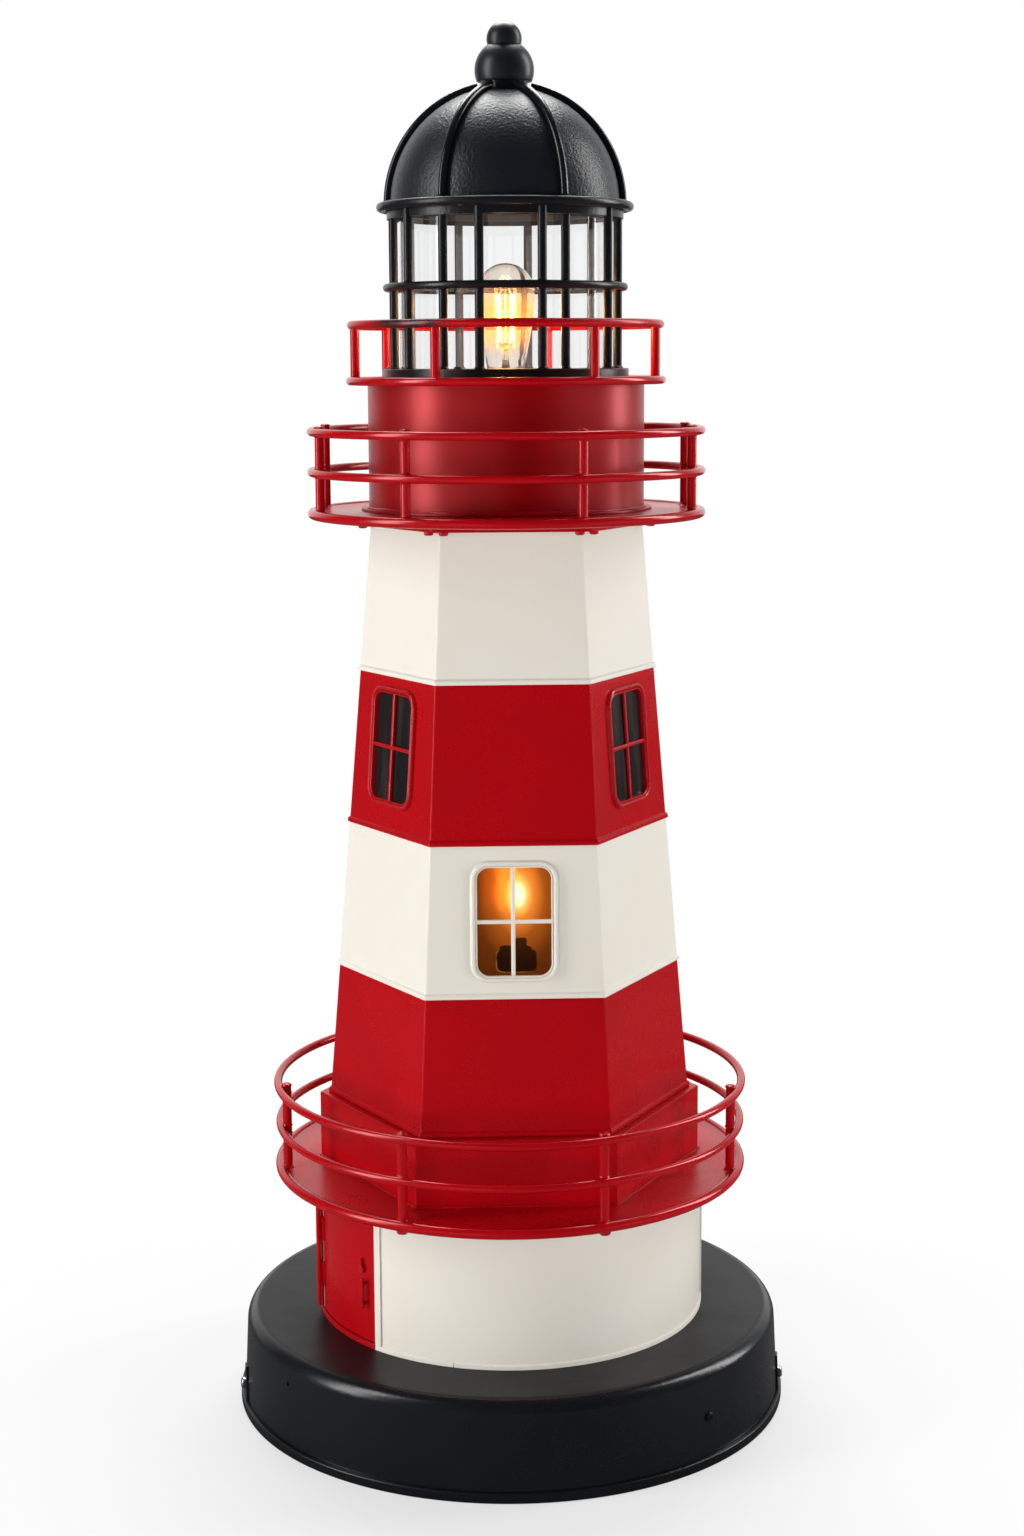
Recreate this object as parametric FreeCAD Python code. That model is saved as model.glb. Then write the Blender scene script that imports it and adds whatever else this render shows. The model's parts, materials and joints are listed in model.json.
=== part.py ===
import FreeCAD, Part
import math
import os
from collections import namedtuple

from FreeCAD import Placement, Rotation, Vector

# Garden lighthouse ornament with two lamps. Millimetres, +Z up, origin on the floor under the
# tower's axis. Angles are in degrees about +Z, counted from the front (-Y) towards +X.

# ---------------------------------------------------------------- sheet metal and clearances
SHEET = 1.5                    # spun base, drums, dome, plinth
TOWER_SHEET = 1.2              # folded hexagonal bands
PLATE = 2.5                    # decks and caps
REST_GAP = 0.2                 # lift-off roof over its seat
DOOR_GAP = 0.8                 # all round the door
CLOSE_GAP = 0.3                # door panel over its stop
PIN_CLEARANCE = 0.05           # radial, hinge pin and latch spindle
SCREW_CLEARANCE = 0.1          # radial, screws in their holes
SCREW_HOLE_EXTRA = 2.0         # a screw's hole is this much deeper than its shank
CUTTER_REACH = 9.0             # how far a cutter passes the wall that it cuts
BEAD_ROUND = 0.45              # rounding of beads and frames, as a share of their depth
END_ROUND = 0.8                # rounding of rod ends, as a share of their radius

# ---------------------------------------------------------------- screws: radii of head and shank
Screw = namedtuple("Screw", "head head_height shank length")
EAR_SCREW = Screw(4.5, 3.2, 2.5, 9.0)
WALL_SCREW = Screw(3.8, 2.2, 2.0, 9.0)
POST_SCREW = Screw(4.5, 3.2, 2.0, 14.0)
CAP_SCREW = Screw(3.6, 2.6, 1.5, 10.0)
FLANGE_SCREW = Screw(3.0, 1.8, 1.5, 11.0)
HEAD_ROUND = 0.6               # rounding of a head, as a share of its height
RECESS_DEPTH = 0.4             # cross recess, as shares of the head's height and radius
RECESS_LENGTH = 1.1
RECESS_WIDTH = 0.22
NUT_THICKNESS = 3.2
NUT_GAP = 0.2                  # wall screws' nuts to the wall's curved inside

# ---------------------------------------------------------------- base
BASE_HEIGHT = 76.0
BASE_TOP_RADIUS = 214.0        # wall just under the rounded shoulder
BASE_FOOT_RADIUS = 217.2       # wall inside the rolled rim
BASE_SHOULDER = 11.0           # shoulder radius
PAN_THICKNESS = 1.5
RIM_WIDTH = 3.3                # rolled rim round the bottom pan
RIM_HEIGHT = 8.0
EAR_ANGLES = (-82.0, 82.0)
EAR_WIDTH = 26.0
EAR_TIP_WIDTH = 9.4
EAR_TOP = 32.0
EAR_SCREW_HEIGHT = 17.0
WALL_SCREW_ANGLES = (41.9, 221.9)
WALL_SCREW_HEIGHT = 38.0
DRAIN_HOLE_ANGLE = -55.1
DRAIN_HOLE_HEIGHT = 55.0
DRAIN_HOLE_RADIUS = 1.6
CORD_HOLE_HEIGHT = 30.0        # grommet for the supply cord, at the back
CORD_BORE_RADIUS = 3.6
GROMMET_RADIUS = 6.0
GROMMET_FLANGE = 9.0
GROMMET_LIP = 2.2
GROMMET_PLAY = 0.4             # between its flanges and the wall

# ---------------------------------------------------------------- lower drum and its door
DRUM_RADIUS = 153.6
DRUM_HEIGHT = 118.5
DRUM_BEAD = 1.4
DRUM_BEAD_HEIGHT = 4.0
DRUM_BEAD_ROUND = 0.9          # rounding of the bead's upper edge, as a share of its depth
THRESHOLD_BEAD = 1.8
DRUM_SEAM_ANGLE = 86.0
DRUM_SEAM_WIDTH = 8.0
BEAD_JOINT_ANGLE = -18.5
BEAD_JOINT_WIDTH = 0.8
DOOR_LEFT_ANGLE = -78.0
DOOR_RIGHT_ANGLE = -44.6
DOOR_SILL = 3.5                # opening's lower edge above the base
DOOR_HEIGHT = 96.5
DOOR_CORNER = 5.0
DOOR_STOP_LAP = 3.0            # how far the stop reaches into the opening
DOOR_STOP_BORDER = 7.0         # how far it reaches behind the drum's wall
DOOR_STOP_THICKNESS = 2.0
JAMB_WIDTH = 5.9
JAMB_CORNER = 2.0
LEAF = 1.0                     # thickness of the hinge leaves
LEAF_WIDTH = 6.0
HINGE_OFFSET = 3.2             # pin to the doorway's left edge, along the wall
KNUCKLE_RADIUS = 2.2
KNUCKLE_COUNT = 5
KNUCKLE_GAP = 0.3
KNUCKLE_WEB = 1.2              # width of the metal between a leaf and its knuckle
LEAF_SETBACK = 0.4             # fixed leaf's edge to the pin's axis
HINGE_PIN_RADIUS = 1.0
PULL_ANGLE = -48.5
PULL_BOTTOM = 107.7
PULL_TOP = 131.7
PULL_RADIUS = 1.5
PULL_END_ROUND = 0.7           # rounding of its ends, as a share of its radius
STANDOFF_RADIUS = 1.2
PULL_STANDOFF = 4.0            # bar's axis over the door, and standoffs from its ends
LATCH_ANGLE = -50.0
LATCH_HEIGHT = 138.0
LATCH_SPINDLE_RADIUS = 1.5
LATCH_TONGUE = 16.0
TONGUE_WIDTH = 5.0
TONGUE_THICKNESS = 1.5
TONGUE_GAP = 1.5               # tongue's face to the stop that it turns behind
KNOB_RADIUS = 3.2
KNOB_HEIGHT = 2.3
LEVER_WIDTH = 2.2
LEVER_LENGTH = 8.5
LEVER_THICKNESS = 1.8

# ---------------------------------------------------------------- galleries
LOWER_RIM_RADIUS = 184.6
LOWER_RIM_TUBE = 4.0
LOWER_POST_ANGLES = (-80.4, -28.5, 20.7, 72.5, 125.0, 177.0, 229.0)
LOWER_POST_RADIUS = 180.0
LOWER_MID_RAIL_RADIUS = 184.5
LOWER_TOP_RAIL_RADIUS = 185.6
LOWER_MID_RAIL_RISE = 34.5     # rail heights over their deck's underside
LOWER_TOP_RAIL_RISE = 67.0
MIDDLE_RIM_RADIUS = 149.8
MIDDLE_RIM_TUBE = 3.8
MIDDLE_POST_ANGLES = (-106.0, -77.0, -32.0, 20.0, 71.0, 104.0, 155.0, 205.0)
MIDDLE_POST_RADIUS = 146.4
MIDDLE_RAIL_RADIUS = 150.2
MIDDLE_MID_RAIL_RISE = 31.7
MIDDLE_TOP_RAIL_RISE = 62.5
TOP_RIM_RADIUS = 119.7
TOP_RIM_TUBE = 3.1
TOP_POST_ANGLES = (-127.0, -88.0, -28.5, 32.0, 92.0, 160.0)
TOP_POST_RADIUS = 115.5
TOP_RAIL_RADIUS = 118.0
TOP_RAIL_RISE = 44.5
RAIL_TUBE = 3.2
POST_TUBE = 3.6
POST_TIP = 1.8                 # post tips stand this far above the top rail
POST_SCREW_OFFSET = 1.0        # lower posts' screws stand this far outside the posts

# ---------------------------------------------------------------- plinth and hexagonal tower
PLINTH_RADIUS = 152.6          # radii of hexagons are to their corners
PLINTH_HEIGHT = 53.0
TOWER_FOOT_RADIUS = 144.0
TOWER_TOP_RADIUS = 105.6
BAND_HEIGHTS = (105.0, 115.5, 120.2, 113.3)
HEM = 1.6
HEM_HEIGHT = 4.0
CAP_RADIUS = 118.8
CAP_HEIGHT = 9.0
CAP_SCREW_SPREAD = 3.2         # degrees either side of each corner
CAP_SCREW_INSET = 0.8          # inwards from midway between the cap's and the tower's corners

# ---------------------------------------------------------------- windows
WINDOW_WIDTH = 56.0            # clear opening
WINDOW_HEIGHT = 82.0
WINDOW_CORNER = 9.0
WINDOW_FRAME = 5.2
WINDOW_FRAME_DEPTH = 3.2
MUNTIN = 3.3
MUNTIN_DEPTH = 2.2
PANE = 2.0
PANE_BORDER = 6.0
FRONT_WINDOW_HEIGHT = 163.5    # window centres over the tower's foot
SIDE_WINDOW_HEIGHT = 287.0

# ---------------------------------------------------------------- upper drum and lantern
UPPER_DRUM_RADIUS = 106.2
UPPER_DRUM_HEIGHT = 95.5
UPPER_DRUM_FLANGE = 5.9
UPPER_DRUM_FLANGE_THICKNESS = 2.0
LANTERN_FLANGE_RADIUS = 94.3
LANTERN_FLANGE_HEIGHT = 9.0
LANTERN_FLANGE_EDGE = 1.2      # radius of its upper edge
LANTERN_HEIGHT = 118.5         # lantern flange to the head band's top
OUTER_CAGE_ANGLES = (-56.0, -14.5, 15.5, 57.0, 126.0, 238.0)
INNER_CAGE_ANGLES = (-84.0, -34.5, 29.0, 84.0, 165.5, 204.0)
CAGE_TUBE = 3.4
CAGE_POST_SHORT = 1.2          # outer posts end this far under the head band's top
CAGE_RING_RISE = 61.0
CAGE_RING_TUBE = 3.0
HEAD_BAND_RADIUS = 90.0
CAGE_POST_OUTSET = 1.0         # outer posts' axes inside the band's outer face
CAGE_POST_INSET = 4.4          # inner posts' axes inside the band's outer face
CAGE_RING_OUTSET = 0.5         # middle ring's line outside the band's outer face
HEAD_BAND_HEIGHT = 7.0
HEAD_BAND_SHEET = 1.5
HEAD_BAND_OPENING = 78.0
GLASS_WALL = 2.5
GLASS_ROOM = 0.5               # radial, roof's spigot inside the glass
FLANGE_SCREW_ANGLES = (-25.5, 69.0, 145.0, 265.0)
FLANGE_SCREW_RADIUS = 88.5

# ---------------------------------------------------------------- lift-off roof
DOME_RADIUS = 87.0
DOME_SKIRT = 3.8
SPIGOT_DEPTH = 4.0
SPIGOT_CLEARANCE = 0.3
DOME_RING_RADIUS = 94.4
DOME_RING_TUBE = 3.4
DOME_RING_RISE = 2.0           # ring's centre over the dome's lower edge
RIB_COUNT = 6
RIB_OFFSET_ANGLE = -33.0
RIB_TUBE = 3.0
RIB_STANDOFF = 2.4             # rib's centre over the dome's skin
RIB_TOP_RADIUS = 20.0
FINIAL_GAP = 3.5               # dark gap between the dome and the finial
FINIAL_BALL = 22.5
FINIAL_CUT = 8.5               # flat under the large ball, below its centre
FINIAL_TIP_BALL = 13.3
FINIAL_TIP_RISE = 22.7
STUD_RADIUS = 4.0
STUD_COLLAR = 15.0
STUD_REACH = 14.0              # stud's lower end under the dome's crown
STUD_NUT_RADIUS = 7.5
STUD_NUT_HEIGHT = 6.0
STUD_NUT_GAP = 0.6             # nut's upper face to the dome's inside, on the axis

# ---------------------------------------------------------------- lamps and wiring
BULB_RADIUS = 22.5
BULB_NECK = 13.2
BULB_HEIGHT = 90.0
BULB_THROAT = 1.6              # throat's radius over the neck's
BULB_THROAT_RISE = 0.14        # heights of throat and waist, as shares of the bulb's height
BULB_WAIST_RISE = 0.36
BULB_WAIST = 0.82              # waist's radius, as a share of the bulb's
BULB_WALL = 1.0
BULB_CAP_RADIUS = 13.0
BULB_CAP_DEPTH = 22.0
CAP_CLEARANCE = 0.3            # radial, bulb's cap in its holder
HOLDER_RADIUS = 16.5
HOLDER_HEIGHT = 42.0
HOLDER_ROOM = 3.0              # radial, hole in the top deck round the lampholder
HOLDER_DROP = 1.5              # lantern's lampholder under the top deck's surface
HOLDER_LIP = 1.5               # radius of its upper edge
CONTACT_RADIUS = 4.5           # bulb's centre contact
CONTACT_HEIGHT = 2.0
FILAMENT_COUNT = 4
FILAMENT_CIRCLE = 7.0
FILAMENT_RADIUS = 1.1
FILAMENT_LENGTH = 38.0
FILAMENT_RISE = 30.0           # over the holder's top
SPIDER_THICKNESS = 1.0
STEM_FOOT_RADIUS = 7.0
STEM_TOP_RADIUS = 3.0
STEM_GAP = 0.3                 # glass stem over the bulb's floor
SHELF_RISE = 76.0              # lamp shelf over the tower's foot
SHELF_GAP = 0.3                # lamp shelf's edge to the tower's wall
BRACKET_WIDTH = 26.0
BRACKET_FOOT = 10.0
BRACKET_ROOM = 2.0             # bracket's sides to the lampholder
CABLE_RADIUS = 3.0
CABLE_CIRCLE = 78.0            # cables climb the tower at this distance from its axis
CABLE_BEND = 24.0
CABLE_ENTRY = 2.0              # straight end under each lampholder
CABLE_HOLE = 5.0
LANTERN_CABLE_ANGLE = 165.0
WINDOW_CABLE_ANGLE = 195.0
BLOCK_LENGTH = 30.0
BLOCK_WIDTH = 24.0
BLOCK_HEIGHT = 20.0
BLOCK_HOLE_RADIUS = 2.6
BLOCK_HOLE_DEPTH = 8.0
BLOCK_DISTANCE = 128.0

# ---------------------------------------------------------------- radii that follow from others
OUTER_CAGE_RADIUS = HEAD_BAND_RADIUS - CAGE_POST_OUTSET
INNER_CAGE_RADIUS = HEAD_BAND_RADIUS - CAGE_POST_INSET
CAGE_RING_RADIUS = HEAD_BAND_RADIUS + CAGE_RING_OUTSET
GLASS_RADIUS = HEAD_BAND_OPENING + GLASS_WALL + GLASS_ROOM

# ---------------------------------------------------------------- heights, from the floor up
DRUM_TOP = BASE_HEIGHT + DRUM_HEIGHT
LOWER_DECK_TOP = DRUM_TOP + PLATE
TOWER_FOOT = LOWER_DECK_TOP + PLINTH_HEIGHT
TOWER_HEIGHT = sum(BAND_HEIGHTS)
TOWER_TOP = TOWER_FOOT + TOWER_HEIGHT
MIDDLE_DECK = TOWER_TOP + CAP_HEIGHT
MIDDLE_DECK_TOP = MIDDLE_DECK + PLATE
TOP_DECK = MIDDLE_DECK_TOP + UPPER_DRUM_HEIGHT
TOP_DECK_TOP = TOP_DECK + PLATE
CAGE_FOOT = TOP_DECK_TOP + LANTERN_FLANGE_HEIGHT
BAND_TOP = CAGE_FOOT + LANTERN_HEIGHT
BAND_BOTTOM = BAND_TOP - HEAD_BAND_HEIGHT
DOME_FOOT = BAND_TOP + REST_GAP
DOME_CENTRE = DOME_FOOT + DOME_SKIRT
FINIAL_FLAT = DOME_CENTRE + DOME_RADIUS + FINIAL_GAP
DOOR_BOTTOM = BASE_HEIGHT + DOOR_SILL
LAMP_SHELF = TOWER_FOOT + SHELF_RISE
DRUM_INSIDE = DRUM_RADIUS - SHEET
UP = Vector(0, 0, 1)


# ---------------------------------------------------------------- general helpers
def outward(angle):
    """Unit vector pointing away from the axis at an angle from the front."""
    turn = math.radians(angle)
    return Vector(math.sin(turn), -math.cos(turn), 0)


def at(radius, angle, z):
    return outward(angle) * radius + Vector(0, 0, z)


def rod(start, end, radius):
    return Part.makeCylinder(radius, (end - start).Length, start, end - start)


def disc(outer, inner, bottom, top):
    body = Part.makeCylinder(outer, top - bottom, Vector(0, 0, bottom))
    if inner <= 0:
        return body
    return body.cut(Part.makeCylinder(inner, top - bottom, Vector(0, 0, bottom)))


def ring(radius, tube, z):
    return Part.makeTorus(radius, tube, Vector(0, 0, z))


def spun(edges):
    """Solid of revolution about +Z from a closed outline in the XZ plane."""
    outline = Part.Face(Part.Wire(Part.__sortEdges__(edges)))
    return outline.revolve(Vector(0, 0, 0), UP, 360)


def line(start, end):
    return Part.LineSegment(Vector(start[0], 0, start[1]), Vector(end[0], 0, end[1])).toShape()


def arc(start, middle, end):
    points = [Vector(p[0], 0, p[1]) for p in (start, middle, end)]
    return Part.Arc(*points).toShape()


def polygon(points):
    return [line(a, b) for a, b in zip(points, points[1:] + points[:1])]


def sector(inner, outer, left, right, bottom, top):
    """Piece of a tube's wall between two angles."""
    middle = (left + right) / 2
    edges = [
        Part.LineSegment(at(inner, left, bottom), at(outer, left, bottom)).toShape(),
        Part.Arc(at(outer, left, bottom), at(outer, middle, bottom), at(outer, right, bottom)).toShape(),
        Part.LineSegment(at(outer, right, bottom), at(inner, right, bottom)).toShape(),
        Part.Arc(at(inner, right, bottom), at(inner, middle, bottom), at(inner, left, bottom)).toShape(),
    ]
    return Part.Face(Part.Wire(edges)).extrude(Vector(0, 0, top - bottom))


def rounded_corners(shape, radius, height, angles):
    """Round the corners of a curved panel whose radial edges lie at a height and at the angles."""
    chosen = []
    for edge in shape.Edges:
        ends = [v.Point for v in edge.Vertexes]
        level = all(abs(p.z - height) < 0.01 for p in ends)
        angle = [math.degrees(math.atan2(p.x, -p.y)) for p in ends]
        radial = len(ends) == 2 and abs(angle[0] - angle[1]) < 0.01
        if level and radial and any(abs(angle[0] - a) < 0.1 for a in angles):
            chosen.append(edge)
    return shape.makeFillet(radius, chosen)


def degrees_along(length, radius):
    return math.degrees(length / radius)


def hexagon(radius, z):
    corners = [at(radius, 30 + 60 * i, z) for i in range(6)]
    return Part.makePolygon(corners + corners[:1])


def hex_frustum(low_radius, low, high_radius, high):
    return Part.makeLoft([hexagon(low_radius, low), hexagon(high_radius, high)], True, True)


def hex_wall(thickness):
    """How much a hexagon's corner radius grows when its walls grow by a thickness."""
    return thickness / math.cos(math.radians(30))


def fused(first, *others):
    return first.multiFuse(list(others)).removeSplitter()


def group(shapes):
    return Part.makeCompound(shapes)


# ---------------------------------------------------------------- fasteners
def pan_screw(seat, direction, screw):
    """Screw whose domed head stands on a seat, with its shank going the other way."""
    head = Part.makeCylinder(screw.head, screw.head_height, seat, direction)
    half = screw.head_height / 2
    rims = [e for e in head.Edges if e.Vertexes[0].Point.sub(seat).dot(direction) > half]
    head = head.makeFillet(min(screw.head, screw.head_height) * HEAD_ROUND, rims[:1])
    slot_depth = screw.head_height * RECESS_DEPTH
    length = screw.head * RECESS_LENGTH
    width = screw.head * RECESS_WIDTH
    slot = Part.makeBox(length, width, slot_depth,
                        Vector(-length / 2, -width / 2, screw.head_height - slot_depth))
    cross = slot.fuse(slot.copy().rotate(Vector(0, 0, 0), UP, 90))
    cross.Placement = Placement(seat, Rotation(UP, direction))
    shank = Part.makeCylinder(screw.shank, screw.length, seat, direction * -1)
    return fused(head.cut(cross), shank)


def screw_hole(seat, direction, screw):
    """Clearance hole for a screw's shank, starting just outside its seat."""
    depth = screw.length + SCREW_HOLE_EXTRA
    return Part.makeCylinder(screw.shank + SCREW_CLEARANCE, depth + 1, seat + direction, direction * -1)


# ---------------------------------------------------------------- base
def base_wall_radius(z):
    """Outer radius of the base's slightly sloping wall."""
    share = (z - PAN_THICKNESS) / (BASE_HEIGHT - BASE_SHOULDER - PAN_THICKNESS)
    return BASE_FOOT_RADIUS + (BASE_TOP_RADIUS - BASE_FOOT_RADIUS) * share


def wall_normal(angle):
    """Direction square to the base's sloping wall at an angle."""
    lean = (BASE_FOOT_RADIUS - BASE_TOP_RADIUS) / (BASE_HEIGHT - BASE_SHOULDER - PAN_THICKNESS)
    return (outward(angle) + UP * lean).normalize()


def housing_outline(inset):
    """Wall, shoulder and top of the base, from the foot to the axis, moved inwards by an inset."""
    foot = (BASE_FOOT_RADIUS - inset, PAN_THICKNESS)
    shoulder = (BASE_TOP_RADIUS - inset, BASE_HEIGHT - BASE_SHOULDER)
    bend = BASE_SHOULDER - inset
    centre = (BASE_TOP_RADIUS - BASE_SHOULDER, BASE_HEIGHT - BASE_SHOULDER)
    half = math.sqrt(0.5) * bend
    middle = (centre[0] + half, centre[1] + half)
    edge = (centre[0], BASE_HEIGHT - inset)
    axis = (0, BASE_HEIGHT - inset)
    return foot, shoulder, middle, edge, axis


def cable_holes(bottom, top):
    angles = [LANTERN_CABLE_ANGLE, WINDOW_CABLE_ANGLE]
    if bottom > LAMP_SHELF:
        angles = [LANTERN_CABLE_ANGLE]
    return [rod(at(CABLE_CIRCLE, a, bottom - 1), at(CABLE_CIRCLE, a, top + 1), CABLE_HOLE) for a in angles]


def ear_screw_seat(angle):
    return at(base_wall_radius(EAR_SCREW_HEIGHT) + SHEET, angle, EAR_SCREW_HEIGHT)


def wall_screw_seat(angle):
    return at(base_wall_radius(WALL_SCREW_HEIGHT), angle, WALL_SCREW_HEIGHT)


def base_housing():
    foot, shoulder, middle, edge, axis = housing_outline(0)
    foot_in, shoulder_in, middle_in, edge_in, axis_in = housing_outline(SHEET)
    shell = spun([line(foot, shoulder), arc(shoulder, middle, edge), line(edge, axis), line(axis, axis_in),
                  line(axis_in, edge_in), arc(edge_in, middle_in, shoulder_in),
                  line(shoulder_in, foot_in), line(foot_in, foot)])
    holes = cable_holes(BASE_HEIGHT - SHEET, BASE_HEIGHT)
    holes += [screw_hole(ear_screw_seat(a), wall_normal(a), EAR_SCREW) for a in EAR_ANGLES]
    holes += [screw_hole(wall_screw_seat(a), wall_normal(a), WALL_SCREW) for a in WALL_SCREW_ANGLES]
    near = BASE_TOP_RADIUS - CUTTER_REACH
    far = BASE_FOOT_RADIUS + CUTTER_REACH
    for angle, z, radius in ((DRAIN_HOLE_ANGLE, DRAIN_HOLE_HEIGHT, DRAIN_HOLE_RADIUS),
                             (180, CORD_HOLE_HEIGHT, GROMMET_RADIUS)):
        holes.append(rod(at(near, angle, z), at(far, angle, z), radius))
    return shell.cut(holes)


def base_pan():
    """Bottom pan: flat plate, rolled rim round the housing's foot, and an ear at each side."""
    outer = BASE_FOOT_RADIUS + RIM_WIDTH
    bead = RIM_WIDTH * BEAD_ROUND
    rim = disc(outer, BASE_FOOT_RADIUS, 0, RIM_HEIGHT)
    rounds = [e for e in rim.Edges if e.Length > 6 * outer and abs(e.BoundBox.XMax - outer) < 0.01]
    rim = rim.makeFillet(bead, rounds)
    plate = disc(BASE_FOOT_RADIUS, 0, 0, PAN_THICKNESS)
    pan = fused(rim, plate)
    low = RIM_HEIGHT / 2
    skin = spun(polygon([(base_wall_radius(low), low), (base_wall_radius(EAR_TOP), EAR_TOP),
                         (base_wall_radius(EAR_TOP) + SHEET, EAR_TOP), (base_wall_radius(low) + SHEET, low)]))
    for angle in EAR_ANGLES:
        pan = fused(pan, skin.common(ear_outline(angle)))
        pan = pan.cut(screw_hole(ear_screw_seat(angle), wall_normal(angle), EAR_SCREW))
    return pan


def ear_outline(angle):
    """Tapering prism through the base's wall that gives an ear its triangular shape."""
    tip = EAR_TIP_WIDTH / 2
    half = EAR_WIDTH / 2
    corners = [(-half, 0), (half, 0), (half, RIM_HEIGHT),
               (tip, EAR_TOP), (-tip, EAR_TOP), (-half, RIM_HEIGHT)]
    depth = BASE_TOP_RADIUS - CUTTER_REACH
    points = [Vector(x, -depth, z) for x, z in corners]
    face = Part.Face(Part.makePolygon(points + points[:1]))
    prism = face.extrude(Vector(0, depth - BASE_FOOT_RADIUS - CUTTER_REACH, 0))
    prism.rotate(Vector(0, 0, 0), UP, angle)
    return prism


def ear_screws():
    return group([pan_screw(ear_screw_seat(a), wall_normal(a), EAR_SCREW) for a in EAR_ANGLES])


def wall_screws():
    """Earth screws through the base's wall, each with a nut inside."""
    pieces = []
    for angle in WALL_SCREW_ANGLES:
        seat = wall_screw_seat(angle)
        screw = pan_screw(seat, wall_normal(angle), WALL_SCREW)
        start = seat - wall_normal(angle) * (SHEET + NUT_GAP)
        nut = Part.makeCylinder(WALL_SCREW.head, NUT_THICKNESS, start, wall_normal(angle) * -1)
        pieces += [screw, nut.cut(screw)]
    return group(pieces)


def cord_grommet():
    """Rubber grommet in the base's back wall: two flanges and a waist round the bore."""
    wall = base_wall_radius(CORD_HOLE_HEIGHT)
    inside = wall - SHEET - GROMMET_PLAY
    outside = wall + GROMMET_PLAY

    def barrel(near, far, radius):
        return rod(at(near, 180, CORD_HOLE_HEIGHT), at(far, 180, CORD_HOLE_HEIGHT), radius)

    pieces = [barrel(wall - SHEET - 2 * GROMMET_LIP, inside, GROMMET_FLANGE),
              barrel(inside, outside, GROMMET_RADIUS),
              barrel(outside, wall + GROMMET_LIP, GROMMET_FLANGE)]
    return fused(*pieces).cut(barrel(wall - 2 * CUTTER_REACH, wall + CUTTER_REACH, CORD_BORE_RADIUS))


def terminal_blocks():
    """One terminal block for each lamp's cable, standing on the pan."""
    blocks = []
    for angle in (LANTERN_CABLE_ANGLE, WINDOW_CABLE_ANGLE):
        block = Part.makeBox(BLOCK_WIDTH, BLOCK_LENGTH, BLOCK_HEIGHT,
                             Vector(-BLOCK_WIDTH / 2, -BLOCK_DISTANCE - BLOCK_LENGTH, PAN_THICKNESS))
        for x in (-BLOCK_WIDTH / 4, BLOCK_WIDTH / 4):
            top = Vector(x, -BLOCK_DISTANCE - BLOCK_LENGTH / 2, PAN_THICKNESS + BLOCK_HEIGHT)
            block = block.cut(Part.makeCylinder(BLOCK_HOLE_RADIUS, BLOCK_HOLE_DEPTH, top, UP * -1))
        block.rotate(Vector(0, 0, 0), UP, angle)
        blocks.append(block)
    return group(blocks)


# ---------------------------------------------------------------- lower drum and its door
DOOR_TOP = DOOR_BOTTOM + DOOR_HEIGHT
HINGE_ANGLE = DOOR_LEFT_ANGLE - degrees_along(HINGE_OFFSET, DRUM_RADIUS)
HINGE_RADIUS = DRUM_RADIUS + LEAF + KNUCKLE_RADIUS + CLOSE_GAP
DOOR_INSIDE = DRUM_INSIDE + CLOSE_GAP
DOOR_OUTSIDE = DOOR_INSIDE + SHEET
SILL_TOP = DOOR_BOTTOM + LEAF
PANEL_BOTTOM = SILL_TOP + DOOR_GAP
PANEL_TOP = DOOR_TOP - DOOR_GAP
PANEL_LEFT = DOOR_LEFT_ANGLE + degrees_along(DOOR_GAP, DRUM_RADIUS)
PANEL_RIGHT = DOOR_RIGHT_ANGLE - degrees_along(DOOR_GAP, DRUM_RADIUS)
THRESHOLD_OUTSIDE = DRUM_RADIUS + THRESHOLD_BEAD


def doorway(inner, outer):
    cut = sector(inner, outer, DOOR_LEFT_ANGLE, DOOR_RIGHT_ANGLE, DOOR_BOTTOM, DOOR_TOP)
    return rounded_corners(cut, DOOR_CORNER, DOOR_TOP, (DOOR_LEFT_ANGLE, DOOR_RIGHT_ANGLE))


def hinge_leaf_left():
    return HINGE_ANGLE - degrees_along(LEAF_WIDTH, DRUM_RADIUS)


def lower_drum():
    tube = disc(DRUM_RADIUS, DRUM_INSIDE, BASE_HEIGHT, DRUM_TOP)
    bead = disc(DRUM_RADIUS + DRUM_BEAD, DRUM_INSIDE, BASE_HEIGHT, BASE_HEIGHT + DRUM_BEAD_HEIGHT)
    rounds = [e for e in bead.Edges if abs(e.BoundBox.XMax - DRUM_RADIUS - DRUM_BEAD) < 0.01
              and e.BoundBox.ZMin > BASE_HEIGHT + 1]
    bead = bead.makeFillet(DRUM_BEAD * DRUM_BEAD_ROUND, rounds)
    half = degrees_along(DRUM_SEAM_WIDTH / 2, DRUM_RADIUS)
    seam = sector(DRUM_INSIDE, DRUM_RADIUS + SHEET, DRUM_SEAM_ANGLE - half, DRUM_SEAM_ANGLE + half,
                  BASE_HEIGHT, DRUM_TOP)
    drum = fused(tube, bead, seam)
    left = hinge_leaf_left()
    right = DOOR_RIGHT_ANGLE
    outside = DRUM_RADIUS + CUTTER_REACH
    clear = sector(DRUM_RADIUS, outside, left, right, BASE_HEIGHT, BASE_HEIGHT + CUTTER_REACH)
    gap = degrees_along(BEAD_JOINT_WIDTH / 2, DRUM_RADIUS)
    joint = sector(DRUM_RADIUS, outside, BEAD_JOINT_ANGLE - gap, BEAD_JOINT_ANGLE + gap,
                   BASE_HEIGHT, BASE_HEIGHT + CUTTER_REACH)
    return drum.cut([clear, joint, doorway(DRUM_RADIUS - CUTTER_REACH, outside)])


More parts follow.
